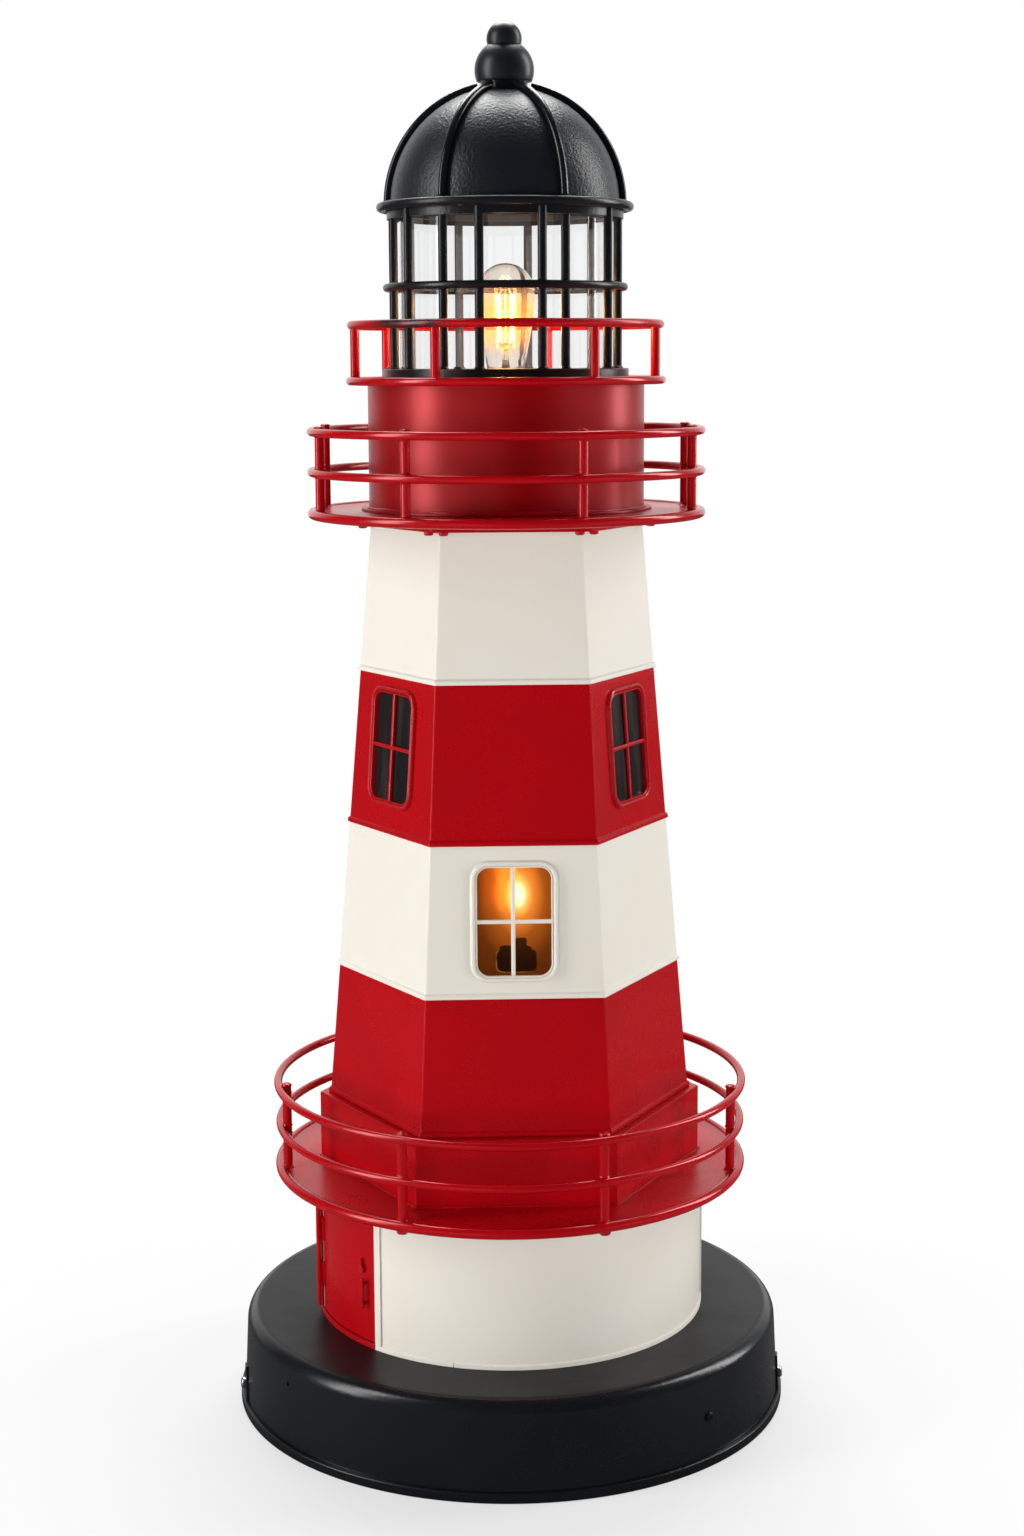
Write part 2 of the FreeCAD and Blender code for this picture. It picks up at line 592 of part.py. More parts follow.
def door_frame():
    """Stop frame behind the doorway, joined to the threshold outside through a thin sill."""
    border = degrees_along(DOOR_STOP_BORDER, DRUM_RADIUS)
    lap = degrees_along(DOOR_STOP_LAP, DRUM_RADIUS)
    inside = DRUM_INSIDE - DOOR_STOP_THICKNESS
    frame = sector(inside, DRUM_INSIDE, DOOR_LEFT_ANGLE - border, DOOR_RIGHT_ANGLE + border,
                   BASE_HEIGHT, DOOR_TOP + DOOR_STOP_BORDER)
    window = sector(inside - CUTTER_REACH, DRUM_INSIDE + CUTTER_REACH,
                    DOOR_LEFT_ANGLE + lap, DOOR_RIGHT_ANGLE - lap,
                    DOOR_BOTTOM + DOOR_STOP_LAP, DOOR_TOP - DOOR_STOP_LAP)
    sill = sector(inside, THRESHOLD_OUTSIDE, DOOR_LEFT_ANGLE, DOOR_RIGHT_ANGLE, DOOR_BOTTOM, SILL_TOP)
    threshold = sector(DRUM_RADIUS, THRESHOLD_OUTSIDE, hinge_leaf_left(), DOOR_RIGHT_ANGLE,
                       BASE_HEIGHT, SILL_TOP)
    return fused(frame.cut(window), sill, threshold)


def door_jamb_strip():
    right = DOOR_RIGHT_ANGLE + degrees_along(JAMB_WIDTH, DRUM_RADIUS)
    low = BASE_HEIGHT + DRUM_BEAD_HEIGHT
    high = DOOR_TOP + JAMB_CORNER
    strip = sector(DRUM_RADIUS, DRUM_RADIUS + SHEET, DOOR_RIGHT_ANGLE, right, low, high)
    return rounded_corners(strip, JAMB_CORNER, high, (DOOR_RIGHT_ANGLE,))


def knuckle_levels():
    """Bottom and top of each knuckle along the hinge, from the sill to the door's top."""
    pitch = (PANEL_TOP - PANEL_BOTTOM) / KNUCKLE_COUNT
    return [(PANEL_BOTTOM + i * pitch + KNUCKLE_GAP / 2, PANEL_BOTTOM + (i + 1) * pitch - KNUCKLE_GAP / 2)
            for i in range(KNUCKLE_COUNT)]


def knuckles(levels):
    axis_bore = rod(at(HINGE_RADIUS, HINGE_ANGLE, 0), at(HINGE_RADIUS, HINGE_ANGLE, 2 * DOOR_TOP),
                    HINGE_PIN_RADIUS + PIN_CLEARANCE)
    barrels = [rod(at(HINGE_RADIUS, HINGE_ANGLE, low), at(HINGE_RADIUS, HINGE_ANGLE, high), KNUCKLE_RADIUS)
               for low, high in levels]
    return barrels, axis_bore


def hinge_leaf():
    """Fixed hinge leaf on the drum, with the first, third and last knuckles."""
    levels = knuckle_levels()[::2]
    barrels, bore = knuckles(levels)
    inner = DRUM_RADIUS
    leaf_right = HINGE_ANGLE - degrees_along(LEAF_SETBACK, DRUM_RADIUS)
    leaf = sector(inner, inner + LEAF, hinge_leaf_left(), leaf_right, SILL_TOP, DOOR_TOP)
    web_right = HINGE_ANGLE - degrees_along(2 * LEAF_SETBACK, DRUM_RADIUS)
    web_left = web_right - degrees_along(KNUCKLE_WEB, DRUM_RADIUS)
    webs = [sector(inner, HINGE_RADIUS, web_left, web_right, low, high) for low, high in levels]
    return fused(leaf, *webs, *barrels).cut(bore)


def door_panel():
    """Curved door, with the second and fourth knuckles at its left edge and a hole for the latch."""
    panel = sector(DOOR_INSIDE, DOOR_OUTSIDE, PANEL_LEFT, PANEL_RIGHT, PANEL_BOTTOM, PANEL_TOP)
    panel = rounded_corners(panel, DOOR_CORNER - DOOR_GAP, PANEL_TOP, (PANEL_LEFT, PANEL_RIGHT))
    levels = knuckle_levels()[1::2]
    barrels, bore = knuckles(levels)
    inner = DRUM_RADIUS + CLOSE_GAP
    tab_right = PANEL_LEFT + degrees_along(LEAF_WIDTH - DOOR_GAP, DRUM_RADIUS)
    web_right = HINGE_ANGLE + degrees_along(KNUCKLE_WEB, DRUM_RADIUS)
    tabs = []
    for low, high in levels:
        tabs.append(sector(inner, inner + LEAF, HINGE_ANGLE, tab_right, low, high))
        tabs.append(sector(inner, HINGE_RADIUS, HINGE_ANGLE, web_right, low, high))
    spindle = rod(at(DOOR_INSIDE - CUTTER_REACH, LATCH_ANGLE, LATCH_HEIGHT),
                  at(DOOR_OUTSIDE + CUTTER_REACH, LATCH_ANGLE, LATCH_HEIGHT),
                  LATCH_SPINDLE_RADIUS + PIN_CLEARANCE)
    return fused(panel, *tabs, *barrels).cut([bore, spindle])


def hinge_pin():
    low = knuckle_levels()[0][0]
    high = knuckle_levels()[-1][1] + HINGE_PIN_RADIUS
    return rod(at(HINGE_RADIUS, HINGE_ANGLE, low), at(HINGE_RADIUS, HINGE_ANGLE, high), HINGE_PIN_RADIUS)


def door_pull():
    """Upright bar on two short standoffs."""
    bar_radius = DOOR_OUTSIDE + PULL_STANDOFF
    bar = rod(at(bar_radius, PULL_ANGLE, PULL_BOTTOM), at(bar_radius, PULL_ANGLE, PULL_TOP), PULL_RADIUS)
    ends = [e for e in bar.Edges if e.Length < 7 * PULL_RADIUS]
    bar = bar.makeFillet(PULL_RADIUS * PULL_END_ROUND, ends)
    standoffs = [rod(at(DOOR_OUTSIDE, PULL_ANGLE, z), at(bar_radius, PULL_ANGLE, z), STANDOFF_RADIUS)
                 for z in (PULL_BOTTOM + PULL_STANDOFF, PULL_TOP - PULL_STANDOFF)]
    return fused(bar, *standoffs)


def door_latch():
    """Turn latch: knob and short lever outside, spindle through the door, tongue inside."""
    out = outward(LATCH_ANGLE)
    side = UP.cross(out)
    centre = at(0, LATCH_ANGLE, LATCH_HEIGHT)
    tongue_start = DRUM_INSIDE - DOOR_STOP_THICKNESS - TONGUE_GAP - TONGUE_THICKNESS
    knob_start = DOOR_OUTSIDE + CLOSE_GAP
    knob_end = knob_start + KNOB_HEIGHT
    spindle = rod(centre + out * tongue_start, centre + out * knob_end, LATCH_SPINDLE_RADIUS)
    knob = rod(centre + out * knob_start, centre + out * knob_end, KNOB_RADIUS)
    lever_start = knob_end - LEVER_THICKNESS
    lever = latch_arm(centre + out * lever_start, side, out, LEVER_WIDTH, LEVER_LENGTH, LEVER_THICKNESS)
    tongue = latch_arm(centre + out * tongue_start, side, out, TONGUE_WIDTH, LATCH_TONGUE, TONGUE_THICKNESS)
    return fused(spindle, knob, lever, tongue)


def latch_arm(start, side, out, width, length, thickness):
    """Flat arm that rises from the latch's axis, with a round end."""
    half = width / 2
    top = start + UP * (length - half)
    edges = [Part.LineSegment(start + side * half, start - side * half).toShape(),
             Part.LineSegment(start - side * half, top - side * half).toShape(),
             Part.Arc(top - side * half, top + UP * half, top + side * half).toShape(),
             Part.LineSegment(top + side * half, start + side * half).toShape()]
    return Part.Face(Part.Wire(edges)).extrude(out * thickness)


# ---------------------------------------------------------------- galleries
def deck(rim_radius, rim_tube, underside, cut_holes):
    """Deck plate that ends against its rolled rim."""
    plate = disc(rim_radius, 0, underside, underside + PLATE)
    return plate.cut([ring(rim_radius, rim_tube, underside)] + cut_holes)


def post_row(angles, radius, foot, top_rail_z, tube, blockers):
    """Upright posts with rounded tips, coped where the rails cross them."""
    posts = []
    for angle in angles:
        top = top_rail_z + RAIL_TUBE + POST_TIP
        post = rod(at(radius, angle, foot), at(radius, angle, top), tube)
        tips = [e for e in post.Edges if e.BoundBox.ZMin > top - 0.01]
        posts.append(post.makeFillet(tube * END_ROUND, tips).cut(blockers))
    return posts


def lower_screw_places():
    radius = LOWER_POST_RADIUS + POST_SCREW_OFFSET
    return [at(radius, a, DRUM_TOP - LOWER_RIM_TUBE) for a in LOWER_POST_ANGLES]


def lower_screw_holes():
    return [screw_hole(p, UP * -1, POST_SCREW) for p in lower_screw_places()]


def lower_rails():
    mid = ring(LOWER_MID_RAIL_RADIUS, RAIL_TUBE, DRUM_TOP + LOWER_MID_RAIL_RISE)
    top = ring(LOWER_TOP_RAIL_RADIUS, RAIL_TUBE, DRUM_TOP + LOWER_TOP_RAIL_RISE)
    return mid, top


def make_lower_gallery():
    rim = ring(LOWER_RIM_RADIUS, LOWER_RIM_TUBE, DRUM_TOP)
    mid, top = lower_rails()
    holes = lower_screw_holes()
    posts = post_row(LOWER_POST_ANGLES, LOWER_POST_RADIUS, LOWER_DECK_TOP, DRUM_TOP + LOWER_TOP_RAIL_RISE,
                     POST_TUBE, [mid, top, rim] + holes)
    save("lower_deck", deck(LOWER_RIM_RADIUS, LOWER_RIM_TUBE, DRUM_TOP,
                            cable_holes(DRUM_TOP, LOWER_DECK_TOP) + holes))
    save("lower_deck_rim", rim.cut(holes))
    save("lower_posts", group(posts))
    save("lower_mid_rail", mid)
    save("lower_top_rail", top)
    save("lower_post_screws", group([pan_screw(p, UP * -1, POST_SCREW) for p in lower_screw_places()]))


def make_middle_gallery():
    rim = ring(MIDDLE_RIM_RADIUS, MIDDLE_RIM_TUBE, MIDDLE_DECK)
    mid = ring(MIDDLE_RAIL_RADIUS, RAIL_TUBE, MIDDLE_DECK + MIDDLE_MID_RAIL_RISE)
    top = ring(MIDDLE_RAIL_RADIUS, RAIL_TUBE, MIDDLE_DECK + MIDDLE_TOP_RAIL_RISE)
    posts = post_row(MIDDLE_POST_ANGLES, MIDDLE_POST_RADIUS, MIDDLE_DECK_TOP,
                     MIDDLE_DECK + MIDDLE_TOP_RAIL_RISE, POST_TUBE, [mid, top, rim])
    holes = cable_holes(MIDDLE_DECK, MIDDLE_DECK_TOP) + cap_screw_holes()
    save("middle_deck", deck(MIDDLE_RIM_RADIUS, MIDDLE_RIM_TUBE, MIDDLE_DECK, holes))
    save("middle_deck_rim", rim)
    save("middle_posts", group(posts))
    save("middle_mid_rail", mid)
    save("middle_top_rail", top)


def make_top_gallery():
    rim = ring(TOP_RIM_RADIUS, TOP_RIM_TUBE, TOP_DECK_TOP)
    rail = ring(TOP_RAIL_RADIUS, RAIL_TUBE, TOP_DECK + TOP_RAIL_RISE)
    under_rail = TOP_DECK + TOP_RAIL_RISE - RAIL_TUBE - POST_TIP
    posts = post_row(TOP_POST_ANGLES, TOP_POST_RADIUS, TOP_DECK_TOP, under_rail, POST_TUBE, [rail, rim])
    well = disc(HOLDER_RADIUS + HOLDER_ROOM, 0, TOP_DECK - 1, TOP_DECK_TOP + 1)
    plate = disc(TOP_RIM_RADIUS, 0, TOP_DECK, TOP_DECK_TOP)
    save("top_deck", plate.cut([rim, well] + flange_screw_holes()))
    save("top_deck_rim", rim)
    save("top_posts", group(posts))
    save("top_rail", rail)


# ---------------------------------------------------------------- plinth and tower
def tower_radius(z):
    """Corner radius of the tower's outer face at a height."""
    share = (z - TOWER_FOOT) / TOWER_HEIGHT
    return TOWER_FOOT_RADIUS + (TOWER_TOP_RADIUS - TOWER_FOOT_RADIUS) * share


def tower_plinth():
    """Hexagonal box with a closed top that the tower stands on."""
    wall = hex_wall(SHEET)
    block = hex_frustum(PLINTH_RADIUS, LOWER_DECK_TOP, PLINTH_RADIUS, TOWER_FOOT)
    inside = hex_frustum(PLINTH_RADIUS - wall, LOWER_DECK_TOP, PLINTH_RADIUS - wall, TOWER_FOOT - PLATE)
    return block.cut([inside] + cable_holes(TOWER_FOOT - PLATE, TOWER_FOOT))


def face_placement(face, z):
    """Puts a flat outline, x to the right and y up the slope, on the middle of a tower face."""
    apothem = tower_radius(z) * math.cos(math.radians(30))
    lean = (TOWER_FOOT_RADIUS - TOWER_TOP_RADIUS) * math.cos(math.radians(30)) / TOWER_HEIGHT
    out = outward(60 * face)
    normal = (out + UP * lean).normalize()
    right = UP.cross(out).normalize()
    slope = normal.cross(right).normalize()
    turn = FreeCAD.Matrix(right.x, slope.x, normal.x, 0, right.y, slope.y, normal.y, 0,
                          right.z, slope.z, normal.z, 0, 0, 0, 0, 1)
    return Placement(out * apothem + UP * z, Placement(turn).Rotation)


def rounded_block(width, height, corner, back, front):
    """Block with rounded corners, between two depths along a face's normal."""
    block = Part.makeBox(width, height, front - back, Vector(-width / 2, -height / 2, back))
    uprights = [e for e in block.Edges if e.BoundBox.ZLength > (front - back) / 2]
    return block.makeFillet(corner, uprights)


def window_cutter(face, z):
    cutter = rounded_block(WINDOW_WIDTH, WINDOW_HEIGHT, WINDOW_CORNER, -CUTTER_REACH, CUTTER_REACH)
    cutter.Placement = face_placement(face, z)
    return cutter


def window_frame(face, z):
    """Raised frame round the opening with a cross of thin bars inside it."""
    outer = rounded_block(WINDOW_WIDTH + 2 * WINDOW_FRAME, WINDOW_HEIGHT + 2 * WINDOW_FRAME,
                          WINDOW_CORNER + WINDOW_FRAME, 0, WINDOW_FRAME_DEPTH)
    front = [e for e in outer.Edges if e.BoundBox.ZMin > WINDOW_FRAME_DEPTH - 0.01]
    outer = outer.makeFillet(WINDOW_FRAME_DEPTH * BEAD_ROUND, front)
    frame = outer.cut(rounded_block(WINDOW_WIDTH, WINDOW_HEIGHT, WINDOW_CORNER, -1, CUTTER_REACH))
    low = -TOWER_SHEET
    upright = Part.makeBox(MUNTIN, WINDOW_HEIGHT, MUNTIN_DEPTH - low,
                           Vector(-MUNTIN / 2, -WINDOW_HEIGHT / 2, low))
    across = Part.makeBox(WINDOW_WIDTH, MUNTIN, MUNTIN_DEPTH - low,
                          Vector(-WINDOW_WIDTH / 2, -MUNTIN / 2, low))
    whole = fused(frame, upright, across)
    whole.Placement = face_placement(face, z)
    return whole


def window_pane(face, z):
    pane = rounded_block(WINDOW_WIDTH + 2 * PANE_BORDER, WINDOW_HEIGHT + 2 * PANE_BORDER, WINDOW_CORNER,
                         -TOWER_SHEET - PANE, -TOWER_SHEET)
    pane.Placement = face_placement(face, z)
    return pane


FRONT_WINDOW = (0, TOWER_FOOT + FRONT_WINDOW_HEIGHT)
SIDE_WINDOWS = ((-1, TOWER_FOOT + SIDE_WINDOW_HEIGHT), (1, TOWER_FOOT + SIDE_WINDOW_HEIGHT))


def tower_band(low, high, windows):
    """One folded hexagonal band with a hem round its lower edge."""
    outer = hex_frustum(tower_radius(low), low, tower_radius(high), high)
    hem_top = low + HEM_HEIGHT
    hem = hex_frustum(tower_radius(low) + hex_wall(HEM), low, tower_radius(hem_top) + hex_wall(HEM), hem_top)
    wall = hex_wall(TOWER_SHEET)
    inside = hex_frustum(tower_radius(low) - wall, low, tower_radius(high) - wall, high)
    return fused(outer, hem).cut([inside] + [window_cutter(*w) for w in windows])


def tower_bands():
    windows = {1: [FRONT_WINDOW], 2: list(SIDE_WINDOWS)}
    bands = []
    low = TOWER_FOOT
    for index, height in enumerate(BAND_HEIGHTS):
        bands.append(tower_band(low, low + height, windows.get(index, [])))
        low += height
    return bands


def tower_cap():
    """Hexagonal tray between the tower and the middle deck, with an open top."""
    wall = hex_wall(SHEET)
    block = hex_frustum(CAP_RADIUS, TOWER_TOP, CAP_RADIUS, MIDDLE_DECK)
    inside = hex_frustum(CAP_RADIUS - wall, TOWER_TOP + PLATE, CAP_RADIUS - wall, MIDDLE_DECK)
    return block.cut([inside] + cable_holes(TOWER_TOP, TOWER_TOP + PLATE) + cap_screw_holes())


def cap_screw_places():
    radius = (CAP_RADIUS + TOWER_TOP_RADIUS) / 2 - CAP_SCREW_INSET
    angles = [30 + 60 * i + side * CAP_SCREW_SPREAD for i in range(6) for side in (-1, 1)]
    return [at(radius, a, TOWER_TOP) for a in angles]


def cap_screw_holes():
    return [screw_hole(p, UP * -1, CAP_SCREW) for p in cap_screw_places()]


def cap_screws():
    return group([pan_screw(p, UP * -1, CAP_SCREW) for p in cap_screw_places()])


def lamp_shelf():
    """Hexagonal plate inside the lowest band that carries the window lamp."""
    radius = tower_radius(LAMP_SHELF + PLATE) - hex_wall(TOWER_SHEET + SHELF_GAP)
    plate = hex_frustum(radius, LAMP_SHELF, radius, LAMP_SHELF + PLATE)
    centre = disc(CABLE_HOLE, 0, LAMP_SHELF - 1, LAMP_SHELF + PLATE + 1)
    lantern_cable = rod(at(CABLE_CIRCLE, LANTERN_CABLE_ANGLE, LAMP_SHELF - 1),
                        at(CABLE_CIRCLE, LANTERN_CABLE_ANGLE, LAMP_SHELF + PLATE + 1), CABLE_HOLE)
    return plate.cut([centre, lantern_cable])


# ---------------------------------------------------------------- upper drum and lantern
def upper_drum():
    tube = disc(UPPER_DRUM_RADIUS, UPPER_DRUM_RADIUS - SHEET, MIDDLE_DECK_TOP, TOP_DECK)
    foot = disc(UPPER_DRUM_RADIUS + UPPER_DRUM_FLANGE, UPPER_DRUM_RADIUS - SHEET, MIDDLE_DECK_TOP,
                MIDDLE_DECK_TOP + UPPER_DRUM_FLANGE_THICKNESS)
    return fused(tube, foot)


def flange_screw_places():
    return [at(FLANGE_SCREW_RADIUS, a, CAGE_FOOT) for a in FLANGE_SCREW_ANGLES]


def flange_screw_holes():
    return [screw_hole(p, UP, FLANGE_SCREW) for p in flange_screw_places()]


def lantern_flange():
    """Turned-down tray that carries the cage, open in the middle for the lamp."""
    tray = disc(LANTERN_FLANGE_RADIUS, HOLDER_RADIUS + HOLDER_ROOM, TOP_DECK_TOP, CAGE_FOOT)
    rounds = [e for e in tray.Edges if e.BoundBox.ZMin > CAGE_FOOT - 0.01
              and e.BoundBox.XMax > LANTERN_FLANGE_RADIUS - 0.1]
    tray = tray.makeFillet(LANTERN_FLANGE_EDGE, rounds)
    inside = disc(FLANGE_SCREW_RADIUS - 2 * FLANGE_SCREW.head, 0, TOP_DECK_TOP, CAGE_FOOT - PLATE)
    return tray.cut([inside] + flange_screw_holes())


def head_band():
    """Ring round the top of the cage, with an inward flange that the roof rests on."""
    flange = HEAD_BAND_SHEET
    return spun(polygon([(HEAD_BAND_RADIUS, BAND_BOTTOM), (HEAD_BAND_RADIUS, BAND_TOP),
                         (HEAD_BAND_OPENING, BAND_TOP), (HEAD_BAND_OPENING, BAND_TOP - flange),
                         (HEAD_BAND_RADIUS - HEAD_BAND_SHEET, BAND_TOP - flange),
                         (HEAD_BAND_RADIUS - HEAD_BAND_SHEET, BAND_BOTTOM)]))


def cage_posts(band, mid_ring):
    """Outer posts run up outside the band, and inner posts stop under its flange."""
    rows = ((OUTER_CAGE_ANGLES, OUTER_CAGE_RADIUS, BAND_TOP - CAGE_POST_SHORT),
            (INNER_CAGE_ANGLES, INNER_CAGE_RADIUS, BAND_BOTTOM))
    posts = []
    for angles, radius, top in rows:
        for angle in angles:
            post = rod(at(radius, angle, CAGE_FOOT), at(radius, angle, top), CAGE_TUBE)
            posts.append(post.cut([band, mid_ring]))
    return posts


def make_lantern():
    band = head_band()
    mid_ring = ring(CAGE_RING_RADIUS, CAGE_RING_TUBE, CAGE_FOOT + CAGE_RING_RISE)
    save("lantern_flange", lantern_flange())
    save("flange_screws", group([pan_screw(p, UP, FLANGE_SCREW) for p in flange_screw_places()]))
    save("lantern_posts", group(cage_posts(band, mid_ring)))
    save("lantern_mid_ring", mid_ring)
    save("lantern_head_band", band)
    glass_top = BAND_TOP - HEAD_BAND_SHEET
    save("lantern_glass", disc(GLASS_RADIUS, GLASS_RADIUS - GLASS_WALL, CAGE_FOOT, glass_top))


# ---------------------------------------------------------------- lift-off roof
def dome_point(radius, rise):
    """Point of the dome's outline at an angle above its springing line."""
    turn = math.radians(rise)
    return (radius * math.cos(turn), DOME_CENTRE + radius * math.sin(turn))


def dome_shell():
    """Domed skin with a spigot that drops into the head band."""
    inner = DOME_RADIUS - SHEET
    spigot = HEAD_BAND_OPENING - SPIGOT_CLEARANCE
    low = DOME_FOOT - SPIGOT_DEPTH
    edges = [arc(dome_point(DOME_RADIUS, 0), dome_point(DOME_RADIUS, 45), (0, DOME_CENTRE + DOME_RADIUS)),
             line((0, DOME_CENTRE + DOME_RADIUS), (0, DOME_CENTRE + inner)),
             arc((0, DOME_CENTRE + inner), dome_point(inner, 45), dome_point(inner, 0)),
             line((inner, DOME_CENTRE), (inner, DOME_FOOT + SHEET)),
             line((inner, DOME_FOOT + SHEET), (spigot - SHEET, DOME_FOOT + SHEET)),
             line((spigot - SHEET, DOME_FOOT + SHEET), (spigot - SHEET, low)),
             line((spigot - SHEET, low), (spigot, low)),
             line((spigot, low), (spigot, DOME_FOOT)),
             line((spigot, DOME_FOOT), (DOME_RADIUS, DOME_FOOT)),
             line((DOME_RADIUS, DOME_FOOT), (DOME_RADIUS, DOME_CENTRE))]
    stud_hole = disc(STUD_RADIUS, 0, DOME_CENTRE, DOME_CENTRE + DOME_RADIUS + CUTTER_REACH)
    return spun(edges).cut(stud_hole)


def dome_ribs(shell, dome_ring):
    """Round rods bent over the dome, from the ring up to the finial."""
    radius = DOME_RADIUS + RIB_STANDOFF
    top_rise = math.degrees(math.acos(RIB_TOP_RADIUS / radius))
    ribs = []
    for index in range(RIB_COUNT):
        path = Part.Wire([arc(dome_point(radius, 0), dome_point(radius, top_rise / 2),
                              dome_point(radius, top_rise))])
        profile = Part.Wire(Part.makeCircle(RIB_TUBE, Vector(radius, 0, DOME_CENTRE), UP))
        rib = path.makePipeShell([profile], True, False)
        rib.rotate(Vector(0, 0, 0), UP, RIB_OFFSET_ANGLE + 60 * index - 90)
        ribs.append(rib.cut([shell, dome_ring]))
    return ribs


def finial_cap():
    centre = FINIAL_FLAT + FINIAL_CUT
    joint = ball_joint_height()
    ball = Part.makeSphere(FINIAL_BALL, Vector(0, 0, centre))
    reach = disc(2 * FINIAL_BALL, 0, FINIAL_FLAT, joint)
    return ball.common(reach).cut(disc(STUD_RADIUS, 0, FINIAL_FLAT - 1, joint + 1))


def ball_joint_height():
    """Height of the circle where the finial's two balls would meet."""
    gap = FINIAL_TIP_RISE
    along = (gap ** 2 + FINIAL_BALL ** 2 - FINIAL_TIP_BALL ** 2) / (2 * gap)
    return FINIAL_FLAT + FINIAL_CUT + along


def finial_tip():
    """Small ball with the stud that runs down through the cap and the dome."""
    centre = FINIAL_FLAT + FINIAL_CUT + FINIAL_TIP_RISE
    joint = ball_joint_height()
    ball = Part.makeSphere(FINIAL_TIP_BALL, Vector(0, 0, centre))
    ball = ball.common(disc(2 * FINIAL_TIP_BALL, 0, joint, centre + 2 * FINIAL_TIP_BALL))
    stud = disc(STUD_RADIUS, 0, DOME_CENTRE + DOME_RADIUS - STUD_REACH, joint)
    return fused(ball, stud)


def finial_collar(shell, tip):
    """Spacer between the dome and the finial, and the nut under the dome."""
    crown = DOME_CENTRE + DOME_RADIUS
    spacer = disc(STUD_COLLAR, STUD_RADIUS, crown - 2 * SHEET, FINIAL_FLAT).cut(shell)
    spacer = max(spacer.Solids, key=lambda s: s.BoundBox.ZMax)
    nut_top = crown - SHEET - STUD_NUT_GAP
    nut = disc(STUD_NUT_RADIUS, STUD_RADIUS, nut_top - STUD_NUT_HEIGHT, nut_top).cut([tip, shell])
    return group([spacer, nut])


def make_roof():
    shell = dome_shell()
    dome_ring = ring(DOME_RING_RADIUS, DOME_RING_TUBE, DOME_FOOT + DOME_RING_RISE)
    web_bottom = DOME_FOOT + DOME_RING_RISE - SHEET / 2
    dome_ring = fused(dome_ring, disc(DOME_RING_RADIUS, DOME_RADIUS, web_bottom, web_bottom + SHEET))
    tip = finial_tip()
    save("dome_shell", shell)
    save("dome_ring", dome_ring)
    save("dome_ribs", group(dome_ribs(shell, dome_ring)))
    save("finial_cap", finial_cap())
    save("finial_tip", tip)
    save("finial_fixings", finial_collar(shell, tip))


# ---------------------------------------------------------------- lamps and wiring
LANTERN_HOLDER_TOP = TOP_DECK_TOP - HOLDER_DROP
WINDOW_HOLDER_TOP = LAMP_SHELF + PLATE + HOLDER_HEIGHT
HOLDER_TOPS = (LANTERN_HOLDER_TOP, WINDOW_HOLDER_TOP)


def lampholders():
    """Skirted holders with a bore for the bulb's cap and a hole below for the cable."""
    holders = []
    for top in HOLDER_TOPS:
        body = disc(HOLDER_RADIUS, 0, top - HOLDER_HEIGHT, top)
        lips = [e for e in body.Edges if e.BoundBox.ZMin > top - 0.01]
        body = body.makeFillet(HOLDER_LIP, lips)
        bore = disc(BULB_CAP_RADIUS + CAP_CLEARANCE, 0, top - BULB_CAP_DEPTH - CONTACT_HEIGHT, top + 1)
        holders.append(body.cut(bore))
    return group(holders)


def bulb_caps():
    """Screw caps with a centre contact that stands on the holder's floor."""
    caps = []
    for top in HOLDER_TOPS:
        cap = disc(BULB_CAP_RADIUS, 0, top - BULB_CAP_DEPTH, top)
        contact = disc(CONTACT_RADIUS, 0, top - BULB_CAP_DEPTH - CONTACT_HEIGHT, top - BULB_CAP_DEPTH)
        caps.append(fused(cap, contact))
    return group(caps)


def bulb_outline(foot, inset):
    """Pear outline from the neck to the crown, moved inwards by an inset."""
    widest = BULB_HEIGHT - BULB_RADIUS
    neck = (BULB_NECK - inset, foot)
    throat = (BULB_NECK + BULB_THROAT - inset, foot + BULB_HEIGHT * BULB_THROAT_RISE)
    waist = (BULB_RADIUS * BULB_WAIST - inset, foot + BULB_HEIGHT * BULB_WAIST_RISE)
    wide = (BULB_RADIUS - inset, foot + widest)
    half = math.sqrt(0.5) * (BULB_RADIUS - inset)
    crown_side = (half, foot + widest + half)
    crown = (0, foot + BULB_HEIGHT - inset)
    side = Part.BSplineCurve()
    side.interpolate([Vector(p[0], 0, p[1]) for p in (neck, throat, waist, wide)],
                     InitialTangent=UP, FinalTangent=UP)
    return neck, side.toShape(), arc(wide, crown_side, crown), crown


def bulb_glass(foot):
    """Hollow pear-shaped bulb, closed at its neck."""
    neck, side, top, crown = bulb_outline(foot, 0)
    solid = spun([side, top, line(crown, (0, foot)), line((0, foot), neck)])
    neck_in, side_in, top_in, crown_in = bulb_outline(foot, BULB_WALL)
    core = spun([side_in, top_in, line(crown_in, (0, foot)), line((0, foot), neck_in)])
    floor = disc(BULB_NECK, 0, foot, foot + BULB_WALL)
    return fused(solid.cut(core), floor.common(solid))


